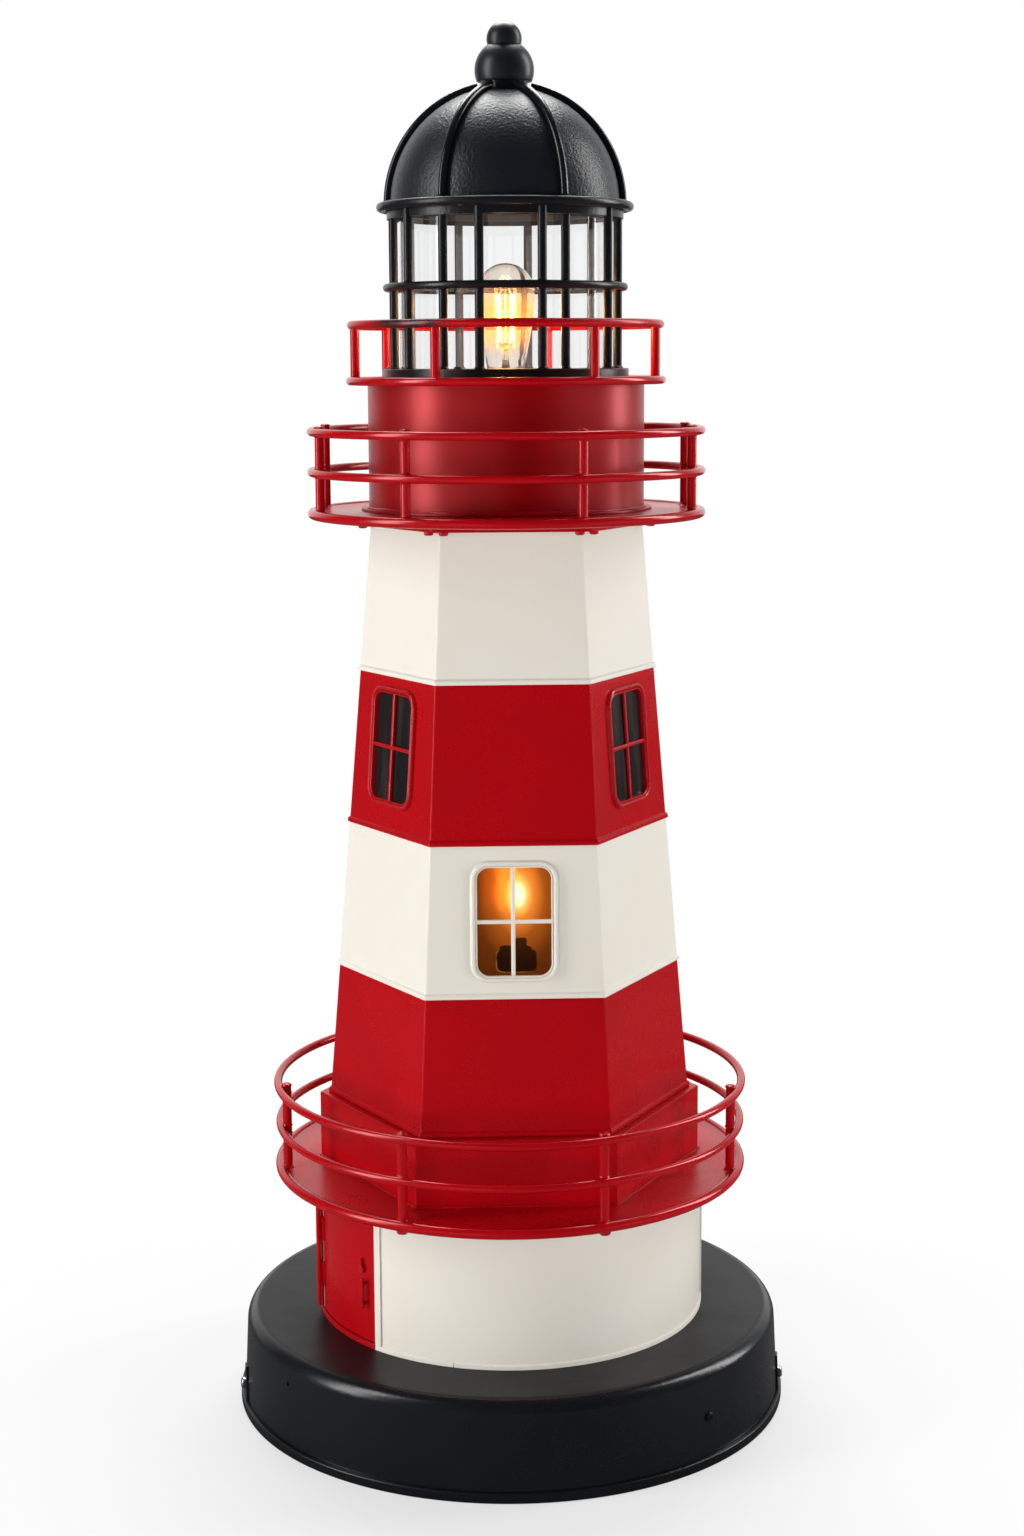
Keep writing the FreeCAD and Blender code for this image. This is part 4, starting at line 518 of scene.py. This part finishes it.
def skin(rings, around=True, along=False):
    """Vertices and quads that join a row of rings with equally many points."""
    count = len(rings[0])
    verts = [p for ring in rings for p in ring]
    faces = []
    for i in range(len(rings) if along else len(rings) - 1):
        a = i * count
        b = (i + 1) % len(rings) * count
        for j in range(count if around else count - 1):
            k = (j + 1) % count
            faces.append((a + j, a + k, b + k, b + j))
    return verts, faces


def joined(parts):
    """Several (vertices, faces) lists as one."""
    verts, faces = [], []
    for part_verts, part_faces in parts:
        start = len(verts)
        verts += part_verts
        faces += [tuple(i + start for i in face) for face in part_faces]
    return verts, faces


def closed_ends(verts, faces, count):
    """Adds a cap to the first and last ring of a skin."""
    last = len(verts) - count
    return verts, faces + [tuple(range(count)), tuple(range(last, last + count))]


def tube(path, radius, sides=12, closed=False, wobble=0.0, seed=0):
    """Round bar along a path, whose radius may vary a little as it does in a bead or weld."""
    dice = random.Random(seed)
    phases = [(dice.uniform(0, 6.28), dice.choice((3, 5, 8, 13, 21))) for _ in range(4)]
    rings = []
    count = len(path)
    for i, point in enumerate(path):
        before = path[(i - 1) % count] if closed or i > 0 else point
        after = path[(i + 1) % count] if closed or i < count - 1 else point
        ahead = (after - before).normalized()
        side = ahead.cross(Vector((0, 0, 1)))
        if side.length < 0.1:
            side = ahead.cross(Vector((0, 1, 0)))
        side.normalize()
        up = side.cross(ahead)
        swell = 1 + wobble * sum(math.sin(p + n * 6.283 * i / count) for p, n in phases) / 2
        turns = [6.28318 * j / sides for j in range(sides)]
        rings.append([point + (side * math.cos(t) + up * math.sin(t)) * radius * swell for t in turns])
    verts, faces = skin(rings, along=closed)
    return (verts, faces) if closed else closed_ends(verts, faces, sides)


def lathe(profile, centre=Vector((0, 0, 0)), sides=32, lump=0.0, seed=0):
    """Turned shape about an upright axis, from (radius, height) points, with optional lumps."""
    dice = random.Random(seed)
    bumps = [1 + lump * dice.uniform(-1, 1) for _ in range(sides)]
    rings = []
    for radius, height in profile:
        rings.append([centre + at(radius * (1 + (bumps[j] - 1) * (radius > 0.01)), 360 * j / sides, height)
                      for j in range(sides)])
    return closed_ends(*skin(rings), sides)


def collar(centre, tube_radius, spread, rise, seed):
    """Lumpy weld that runs out from a rod onto what it stands on; a negative rise hangs down."""
    profile = [(tube_radius - 0.4, rise), (tube_radius + spread * 0.15, rise * 0.85),
               (tube_radius + spread * 0.5, rise * 0.35), (tube_radius + spread, 0.0),
               (tube_radius - 0.4, -0.1 * rise)]
    return lathe(profile, centre, 14, 0.07, seed)


# ------------------------------------------------------------------ folded hexagonal sheet
COS30 = math.cos(math.radians(30))
FOLD = 2.2                     # outer radius of the folds
FOLD_STEPS = 6
FLAT_STEPS = (0.02, 0.2, 0.4, 0.6, 0.8, 0.98)
TOWER_FOOT = 250.0
TOWER_HEIGHT = 454.0
TOWER_FOOT_RADIUS = 144.0
TOWER_TOP_RADIUS = 105.6


def tower_radius(z):
    return TOWER_FOOT_RADIUS + (TOWER_TOP_RADIUS - TOWER_FOOT_RADIUS) * (z - TOWER_FOOT) / TOWER_HEIGHT


def hexagon_ring(corner_radius, z, fold, bow=0.0, seed=0):
    """Hexagon with rounded corners; its flats bow inwards a little between the folds."""
    dice = random.Random(seed)
    depths = [bow * dice.uniform(0.4, 1.2) for _ in range(6)]
    corners = []
    for i in range(6):
        turn = 30 + 60 * i
        centre = at(corner_radius - fold / COS30, turn, z)
        turns = [turn - 30 + 60 * k / FOLD_STEPS for k in range(FOLD_STEPS + 1)]
        corners.append([centre + outward(t) * fold for t in turns])
    ring = []
    for i, arc in enumerate(corners):
        ring += arc
        start = arc[-1]
        end = corners[(i + 1) % 6][0]
        inwards = outward(60 + 60 * i) * -1
        for share in FLAT_STEPS:
            ring.append(start.lerp(end, share) + inwards * depths[i] * math.sin(math.pi * share) ** 2)
    return ring


def hex_shell(profile, fold, bow, low, high, seed):
    """Rings for (corner radius, height) points, bowing most at mid height."""
    rings = []
    for radius, z in profile:
        share = min(max((z - low) / (high - low), 0), 1)
        rings.append(hexagon_ring(radius, z, fold, bow * math.sin(math.pi * share), seed))
    return rings


WINDOW_WIDTH = 56.0
WINDOW_HEIGHT = 82.0
WINDOW_CORNER = 9.0
# face, counted from the front, and height of each window's middle
FRONT_WINDOW = (0, 413.5)
SIDE_WINDOWS = ((-1, 537.0), (1, 537.0))
CUT_DEPTH = 9.0


def window_place(face, z):
    """Centre of a window on a tower face, its sideways and upright directions, and its normal."""
    out = outward(60 * face)
    lean = (TOWER_FOOT_RADIUS - TOWER_TOP_RADIUS) * COS30 / TOWER_HEIGHT
    normal = (out + Vector((0, 0, lean))).normalized()
    right = Vector((0, 0, 1)).cross(out)
    return out * tower_radius(z) * COS30 + Vector((0, 0, z)), right, normal.cross(right), normal


def window_cutter(face, z):
    """Rounded block through one tower face, square to it."""
    centre, right, slope, normal = window_place(face, z)
    outline = rounded_rectangle(WINDOW_WIDTH, WINDOW_HEIGHT, WINDOW_CORNER)
    rings = [[centre + right * x + slope * y + normal * depth for x, y in outline]
             for depth in (-CUT_DEPTH, CUT_DEPTH)]
    return outward_mesh("window_cutter", *closed_ends(*skin(rings), len(outline)))


# a frame's section: outwards from the opening's edge, and out of the wall
FRAME_PROFILE = ((-0.1, -1.2), (-0.1, 1.7), (0.05, 2.05), (0.45, 2.2), (0.85, 2.05), (1.0, 1.6), (1.15, 1.2),
                 (1.4, 1.5), (1.75, 2.3), (2.3, 2.9), (3.1, 3.15), (3.9, 2.9), (4.5, 2.3), (4.9, 1.4),
                 (5.0, 0.6), (5.15, 0.2), (5.2, -0.05), (1.6, -0.05), (0.8, -1.2))
BAR_PROFILE = ((-1.6, -0.6), (-1.6, 0.7), (-1.35, 1.15), (-0.8, 1.4), (0.0, 1.5), (0.8, 1.4), (1.35, 1.15),
               (1.6, 0.7), (1.6, -0.6))
BAR_SHIFT = -0.9               # how far the upright bar stands right of the middle, seen from outside


def window_frame(face, z):
    """Raised frame round a window with two crossing bars, as vertices and faces."""
    centre, right, slope, normal = window_place(face, z)
    rings = []
    for out, rise in FRAME_PROFILE:
        width = WINDOW_WIDTH + 2 * out
        outline = rounded_rectangle(width, WINDOW_HEIGHT + 2 * out, WINDOW_CORNER + out, 10)
        rings.append([centre + right * x + slope * y + normal * rise for x, y in outline])
    parts = [skin(rings, along=True)]
    for along, across, half, shift in ((slope, right, WINDOW_HEIGHT / 2, BAR_SHIFT),
                                       (right, slope, WINDOW_WIDTH / 2, 0.0)):
        ends = [[centre + along * end + across * (x + shift) + normal * rise for x, rise in BAR_PROFILE]
                for end in (-half, 0.0, half)]
        parts.append(closed_ends(*skin(ends), len(BAR_PROFILE)))
    return joined(parts)


def add_window_frames():
    verts, faces = window_frame(*FRONT_WINDOW)
    piece("front_frame", verts, faces, "cream_paint", replaced=("front_window_frame",))
    verts, faces = joined([window_frame(*window) for window in SIDE_WINDOWS])
    piece("side_frames", verts, faces, "red_paint", replaced=("side_window_frames",))


def rounded_rectangle(width, height, corner, steps=8):
    points = []
    for sx, sy, start in ((1, 1, 0), (-1, 1, 90), (-1, -1, 180), (1, -1, 270)):
        for k in range(steps + 1):
            turn = math.radians(start + 90 * k / steps)
            points.append((sx * (width / 2 - corner) + corner * math.cos(turn),
                           sy * (height / 2 - corner) + corner * math.sin(turn)))
    return points


def cut_windows(obj, windows):
    """Cuts the windows through a band and keeps only the result's mesh."""
    cutters = []
    for window in windows:
        cutter = bpy.data.objects.new("cutter", window_cutter(*window))
        bpy.context.scene.collection.objects.link(cutter)
        cutters.append(cutter)
        change = obj.modifiers.new("window", "BOOLEAN")
        change.operation = "DIFFERENCE"
        change.solver = "EXACT"
        change.object = cutter
    graph = bpy.context.evaluated_depsgraph_get()
    mesh = bpy.data.meshes.new_from_object(obj.evaluated_get(graph))
    obj.modifiers.clear()
    obj.data = mesh
    for cutter in cutters:
        bpy.data.objects.remove(cutter)
    smooth(mesh)


def even_shading(obj):
    """Keeps big flat faces flat-looking next to their rounded edges."""
    weighted = obj.modifiers.new("even_shading", "WEIGHTED_NORMAL")
    weighted.keep_sharp = True
    weighted.weight = 80


# node, paint, height and windows of each band, from the lowest up
BANDS = (("tower_band_1_red", "red_paint", 105.0, ()),
         ("tower_band_2_white", "cream_paint", 115.5, (FRONT_WINDOW,)),
         ("tower_band_3_red", "red_paint", 120.2, SIDE_WINDOWS),
         ("tower_band_4_white", "cream_paint", 113.3, ()))
BAND_SHEET = 1.2
BAND_BOW = 0.45
# rolled hem at a band's foot: how far out, how high
HEM_PROFILE = ((0.1, 0.0), (1.0, 0.05), (1.45, 0.45), (1.6, 1.1), (1.6, 2.6), (1.45, 3.3), (1.0, 3.8),
               (0.35, 4.1), (0.05, 4.6), (0.0, 5.4))


def band_profile(low, height):
    """Outer line from the hem up, then the inner line back down, as (corner radius, height)."""
    def corner(out, z):
        return tower_radius(z) + out / COS30, z

    line = [corner(out, low + rise) for out, rise in HEM_PROFILE]
    line += [corner(0.0, low + height * share) for share in (0.1, 0.25, 0.4, 0.55, 0.7, 0.85, 0.96)]
    line += [corner(-0.05, low + height - 0.5), corner(-0.3, low + height)]
    line += [corner(-BAND_SHEET, low + height * share) for share in (1.0, 0.66, 0.33, 0.0)]
    return line


def add_tower_bands():
    low = TOWER_FOOT
    for index, (node, slot, height, windows) in enumerate(BANDS):
        rings = hex_shell(band_profile(low, height), FOLD, BAND_BOW, low + 6, low + height, index + 3)
        verts, faces = skin(rings, along=True)
        band = piece("folded_band_%d" % (index + 1), verts, faces, slot, replaced=(node,))
        band.data.materials[0] = RED_BARE_INSIDE if slot == "red_paint" else CREAM_BARE_INSIDE
        if windows:
            cut_windows(band, windows)
        even_shading(band)
        low += height


# piece, node, corner radius, foot, top and bow of the two folded boxes
FOLDED_BOXES = (("folded_plinth", "tower_plinth", 152.6, 197.0, TOWER_FOOT, 0.3),
                ("folded_cap", "tower_cap", 118.8, TOWER_FOOT + TOWER_HEIGHT, 713.0, 0.0))
BOX_EDGE = 1.3                 # radius of their top edges


def add_plinth_and_cap():
    """Folded boxes under the tower and over it, with rounded top edges."""
    for name, node, radius, low, high, bow in FOLDED_BOXES:
        profile = [(radius - 1.5, low), (radius - 0.3, low), (radius, low + 0.5)]
        if bow:
            profile += [(radius, low + (high - low) * share) for share in (0.15, 0.35, 0.5, 0.65, 0.85)]
        for k in range(6):
            turn = math.radians(90 * k / 5)
            profile.append((radius - BOX_EDGE + BOX_EDGE * math.cos(turn),
                            high - BOX_EDGE + BOX_EDGE * math.sin(turn)))
        profile += [(radius - 4, high), (radius * 0.6, high), (radius * 0.6, high - 2.5),
                    (radius - 4, high - 2.5), (radius - 2, high - 3.5), (radius - 2, low)]
        rings = hex_shell(profile, FOLD, bow, low, high - 1.5, 11)
        verts, faces = skin(rings, along=True)
        box = piece(name, verts, faces, "red_paint", replaced=(node,))
        box.data.materials[0] = RED_BARE_INSIDE
        even_shading(box)


# ------------------------------------------------------------------ caulk and welds
def hexagon_path(corner_radius, z, steps=26):
    corners = [at(corner_radius, 30 + 60 * i, z) for i in range(6)]
    path = []
    for i in range(6):
        path += [corners[i].lerp(corners[(i + 1) % 6], k / steps) for k in range(steps)]
    return path


def circle_path(radius, z, count=240):
    return [at(radius, 360 * i / count, z) for i in range(count)]


def add_caulk():
    """Thin hand-laid beads at the foot of the plinth and of the upper drum."""
    beads = [tube(hexagon_path(153.0, 197.4), 1.0, 10, True, 0.35, 5),
             tube(circle_path(107.0, 717.9), 1.2, 10, True, 0.4, 8)]
    verts, faces = joined(beads)
    piece("caulk_beads", verts, faces, "red_paint")


# angles of the posts and ribs, in degrees from the front towards +X
LOWER_POSTS = (-80.4, -28.5, 20.7, 72.5, 125.0, 177.0, 229.0)
MIDDLE_POSTS = (-106.0, -77.0, -32.0, 20.0, 71.0, 104.0, 155.0, 205.0)
TOP_POSTS = (-127.0, -88.0, -28.5, 32.0, 92.0, 160.0)
OUTER_CAGE = (-56.0, -14.5, 15.5, 57.0, 126.0, 238.0)
INNER_CAGE = (-84.0, -34.5, 29.0, 84.0, 165.5, 204.0)
RIBS = tuple(-33 + 60 * i for i in range(6))
# piece, angles, radius of the circle of posts, deck, and rails of each gallery
POST_ROWS = (("lower_welds", LOWER_POSTS, 180.0, 197.0, (229.0, 261.5)),
             ("middle_welds", MIDDLE_POSTS, 146.4, 715.5, (744.7, 775.5)),
             ("top_welds", TOP_POSTS, 115.5, 813.5, ()))
OUTER_CIRCLE = 89.0
INNER_CIRCLE = 85.6
CAGE_FOOT = 822.5
CAGE_RING = 883.5
RIB_CIRCLE = 89.2
RIB_FOOT = 946.0


def rail_welds(angles, radius, foot, rails, seed):
    """Welds at the feet of a row of posts, and above and below each rail."""
    parts = []
    for index, angle in enumerate(angles):
        parts.append(collar(at(radius, angle, foot), 3.6, 1.7, 2.0, seed + index))
        for rail in rails:
            parts.append(collar(at(radius, angle, rail + 3.0), 3.5, 0.8, 1.5, seed + index + 40))
            parts.append(collar(at(radius, angle, rail - 3.0), 3.5, 0.8, -1.5, seed + index + 80))
    return parts


def add_welds():
    """Welds of the galleries, of the lantern's cage and of the roof's ribs."""
    for name, angles, radius, foot, rails in POST_ROWS:
        verts, faces = joined(rail_welds(angles, radius, foot, rails, len(name)))
        piece(name, verts, faces, "red_paint")
    cage = [collar(at(OUTER_CIRCLE, a, CAGE_FOOT), 3.4, 1.3, 1.7, 7 + i) for i, a in enumerate(OUTER_CAGE)]
    cage += [collar(at(INNER_CIRCLE, a, CAGE_FOOT), 3.4, 1.3, 1.7, 17 + i) for i, a in enumerate(INNER_CAGE)]
    cage += [collar(at(OUTER_CIRCLE, a, CAGE_RING + side * 2.6), 3.3, 0.9, side * 1.4, 27 + i)
             for i, a in enumerate(OUTER_CAGE) for side in (-1, 1)]
    verts, faces = joined(cage)
    piece("cage_welds", verts, faces, "black_paint")
    roof = [collar(at(RIB_CIRCLE, a, RIB_FOOT), 3.0, 1.7, 2.6, 50 + i) for i, a in enumerate(RIBS)]
    verts, faces = joined(roof)
    piece("rib_welds", verts, faces, "black_paint", "roof")


# ------------------------------------------------------------------ lamps
LAMPS = (("lantern", 812.0), ("window", 370.5))     # each lamp, and the height its bulb stands at
# heights below are above that
STEM_PROFILE = ((6.8, 1.4), (6.6, 3.0), (5.0, 7.0), (3.4, 11.0), (2.6, 16.0), (2.4, 22.0), (2.9, 25.5),
                (3.4, 27.5), (2.6, 29.3), (0.8, 30.0))
FILAMENT_CIRCLE = 7.6
FILAMENT_RADIUS = 1.05
FILAMENT_LOW = 31.0
FILAMENT_HIGH = 66.0
WIRE_RADIUS = 0.35
WIRE_TOP = 70.2
LAMP_WARM = (1.0, 0.56, 0.20)


def add_filaments():
    """Glass stem, support wires and four glowing filaments in each bulb."""
    for name, foot in LAMPS:
        base = Vector((0, 0, foot))
        verts, faces = lathe(STEM_PROFILE, base, 28)
        piece(name + "_stem", verts, faces, "bulb_glass")
        sticks, wires = [], []
        for i in range(4):
            angle = 45 + 90 * i
            low = base + at(FILAMENT_CIRCLE * 0.9, angle, FILAMENT_LOW)
            high = base + at(FILAMENT_CIRCLE, angle, FILAMENT_HIGH)
            lower_wire = [base + at(1.6, angle, 27.0), base + at(5.0, angle, 28.0), low]
            upper_wire = [high, base + at(4.4, angle, 69.5), base + Vector((0, 0, WIRE_TOP))]
            sticks.append(tube([low, low.lerp(high, 0.5), high], FILAMENT_RADIUS, 12))
            wires += [tube(lower_wire, WIRE_RADIUS, 8), tube(upper_wire, WIRE_RADIUS, 8)]
        middle_wire = [base + Vector((0, 0, height)) for height in (29.0, 50.0, 70.5)]
        wires.append(tube(middle_wire, 0.45, 8))
        verts, faces = joined(sticks)
        replaced = ("bulb_filaments",) if name == "lantern" else ()
        piece(name + "_filaments", verts, faces, "filament", replaced=replaced)
        verts, faces = joined(wires)
        piece(name + "_wires", verts, faces, "zinc_steel")


def add_lamp_light(name, place, power, in_gloss):
    """Warm point lamp inside a bulb; power in watts."""
    data = bpy.data.lights.new(name, "POINT")
    data.energy = power
    data.color = LAMP_WARM
    data.shadow_soft_size = 0.010
    light = bpy.data.objects.new(name, data)
    light.location = place
    light.visible_camera = False
    light.visible_glossy = in_gloss
    light.visible_transmission = False
    bpy.context.scene.collection.objects.link(light)


# ------------------------------------------------------------------ softened edges of the CAD pieces
# node and width of its edges, in mm
ROUNDED = {"base_pan": 0.4, "lower_drum": 0.4, "door_frame": 0.4, "door_jamb_strip": 0.5,
           "hinge_leaf": 0.25, "door_panel": 0.35, "door_latch": 0.4, "upper_drum": 0.5,
           "lantern_flange": 0.4, "lantern_head_band": 0.35, "finial_cap": 0.8}
EDGE_ANGLE = 40.0              # degrees from which an edge is softened


def round_edges():
    """Small bevels, by modifiers only, so the CAD meshes stay as they are."""
    for name, width in ROUNDED.items():
        weld = nodes[name].modifiers.new("weld", "WELD")
        weld.merge_threshold = 0.00001
        bevel = nodes[name].modifiers.new("edges", "BEVEL")
        bevel.width = width * MM
        bevel.segments = 3
        bevel.limit_method = "ANGLE"
        bevel.angle_limit = math.radians(EDGE_ANGLE)
        bevel.harden_normals = False
        even_shading(nodes[name])


# ------------------------------------------------------------------ stage
AIM = Vector((0, 0, 0.58))     # the softboxes face this point
# azimuth and elevation in degrees, distance, size, radiance, and whether gloss reflects it
SOFTBOXES = (("left_box", -72, 15, 2.4, (0.70, 2.6), 5.4, True),
             ("right_box", 104, 23, 2.4, (0.60, 2.1), 6.5, True),
             ("front_fill", -28, -3, 2.6, (1.6, 0.9), 4.9, False),
             ("left_fill", -78, -3, 2.5, (1.4, 1.0), 2.7, False),
             ("right_fill", 62, -3, 2.5, (1.4, 1.1), 6.2, False),
             ("top_box", 180, 62, 2.4, (1.6, 1.3), 8.5, True))
# place, power and whether gloss reflects it
LAMP_LIGHTS = (("lantern_lamp", LANTERN_CORE, 1.8, True),
               ("window_lamp", WINDOW_CORE, 0.09, False))
ROOM_DARK = 0.03               # the room's light from in front
ROOM_RISE = (0.45, 1.0)        # how far a direction points backwards where it rises to full white


def add_softbox(name, azimuth, elevation, distance, size, radiance, in_gloss):
    """Rectangular lamp that faces the object."""
    rise = math.radians(elevation)
    place = AIM + (outward(azimuth) * math.cos(rise) + Vector((0, 0, math.sin(rise)))) * distance
    data = bpy.data.lights.new(name, "AREA")
    data.shape = "RECTANGLE"
    data.size, data.size_y = size
    data.energy = 4 * size[0] * size[1] * radiance
    light = bpy.data.objects.new(name, data)
    bpy.context.scene.collection.objects.link(light)
    light.location = place
    light.rotation_euler = (AIM - place).to_track_quat("-Z", "Y").to_euler()
    light.visible_camera = False
    light.visible_transmission = False
    light.visible_glossy = in_gloss


def add_world():
    """White behind the object, for the camera and in reflections; dark behind the camera."""
    world = bpy.data.worlds.new("studio")
    bpy.context.scene.world = world
    world.use_nodes = True
    tree = world.node_tree
    tree.nodes.clear()
    output = tree.nodes.new("ShaderNodeOutputWorld")
    path = tree.nodes.new("ShaderNodeLightPath")
    seen = tree.nodes.new("ShaderNodeBackground")
    seen.inputs["Color"].default_value = (1, 1, 1, 1)
    seen.inputs["Strength"].default_value = 1.0
    way = tree.nodes.new("ShaderNodeTexCoord")
    split = tree.nodes.new("ShaderNodeSeparateXYZ")
    tree.links.new(way.outputs["Generated"], split.inputs[0])
    ramp = tree.nodes.new("ShaderNodeMapRange")
    ramp.interpolation_type = "SMOOTHSTEP"
    ramp.inputs["From Min"].default_value = ROOM_RISE[0]
    ramp.inputs["From Max"].default_value = ROOM_RISE[1]
    ramp.inputs["To Min"].default_value = ROOM_DARK
    ramp.inputs["To Max"].default_value = 1.0
    tree.links.new(split.outputs["Y"], ramp.inputs["Value"])
    room = tree.nodes.new("ShaderNodeBackground")
    room.inputs["Color"].default_value = (1, 1, 1, 1)
    tree.links.new(ramp.outputs["Result"], room.inputs["Strength"])
    either = tree.nodes.new("ShaderNodeMath")
    either.operation = "MAXIMUM"
    tree.links.new(path.outputs["Is Camera Ray"], either.inputs[0])
    tree.links.new(path.outputs["Is Transmission Ray"], either.inputs[1])
    mix = tree.nodes.new("ShaderNodeMixShader")
    tree.links.new(either.outputs[0], mix.inputs[0])
    tree.links.new(room.outputs[0], mix.inputs[1])
    tree.links.new(seen.outputs[0], mix.inputs[2])
    tree.links.new(mix.outputs[0], output.inputs[0])


FLOOR_HALF = 6.0
FLOOR_NEAR = 0.25              # shadow keeps its strength up to here, in metres from the axis
FLOOR_FAR = 0.62               # and has faded into the white background here
FLOOR_WHITE = 0.62             # share of plain white in the floor's look where the shadow is strongest
FLOOR_GREYS = (0.34, 0.37)     # the floor as other surfaces see it
FLOOR_GLOSS = 0.10             # the floor in gloss
FLOOR_SEEN = 0.68              # the floor as the camera sees it


def add_floor():
    """Pale floor that looks white and keeps a faint shadow round the base."""
    mesh = bpy.data.meshes.new("floor")
    corners = [(x * FLOOR_HALF, y * FLOOR_HALF, 0) for x, y in ((-1, -1), (1, -1), (1, 1), (-1, 1))]
    mesh.from_pydata(corners, [], [(0, 1, 2, 3)])
    floor = bpy.data.objects.new("floor", mesh)
    bpy.context.scene.collection.objects.link(floor)
    floor.location.z = -0.0005
    s = Shader("floor")
    diffuse = s.add("ShaderNodeBsdfDiffuse")
    white = s.add("ShaderNodeEmission")
    white.inputs["Strength"].default_value = 1.0
    path = s.add("ShaderNodeLightPath")
    seen = s.maths("MAXIMUM", path.outputs["Is Camera Ray"], path.outputs["Is Transmission Ray"])
    grey = s.blended(s.noise(60.0, 2.0), (FLOOR_GREYS[0],) * 3, (FLOOR_GREYS[1],) * 3)
    grey = s.blended(path.outputs["Is Glossy Ray"], grey, (FLOOR_GLOSS,) * 3)
    s.feed(diffuse.inputs["Color"], s.blended(seen, grey, (FLOOR_SEEN,) * 3))
    lit = s.ranged(s.distance_to((0, 0, 0)), FLOOR_WHITE, 1.0, FLOOR_NEAR, FLOOR_FAR, True)
    factor = s.maths("MULTIPLY", seen, lit)
    mesh.materials.append(s.finish(s.mixed(factor, diffuse.outputs[0], white.outputs[0])))


def add_lights():
    for softbox in SOFTBOXES:
        add_softbox(*softbox)
    for lamp in LAMP_LIGHTS:
        add_lamp_light(*lamp)


# ------------------------------------------------------------------ put it together
add_camera()
add_world()
add_floor()
add_lights()
paint_cad_nodes()
round_edges()
add_tower_bands()
add_plinth_and_cap()
add_window_frames()
add_caulk()
add_welds()
add_filaments()

bpy.context.scene.view_settings.view_transform = "Standard"
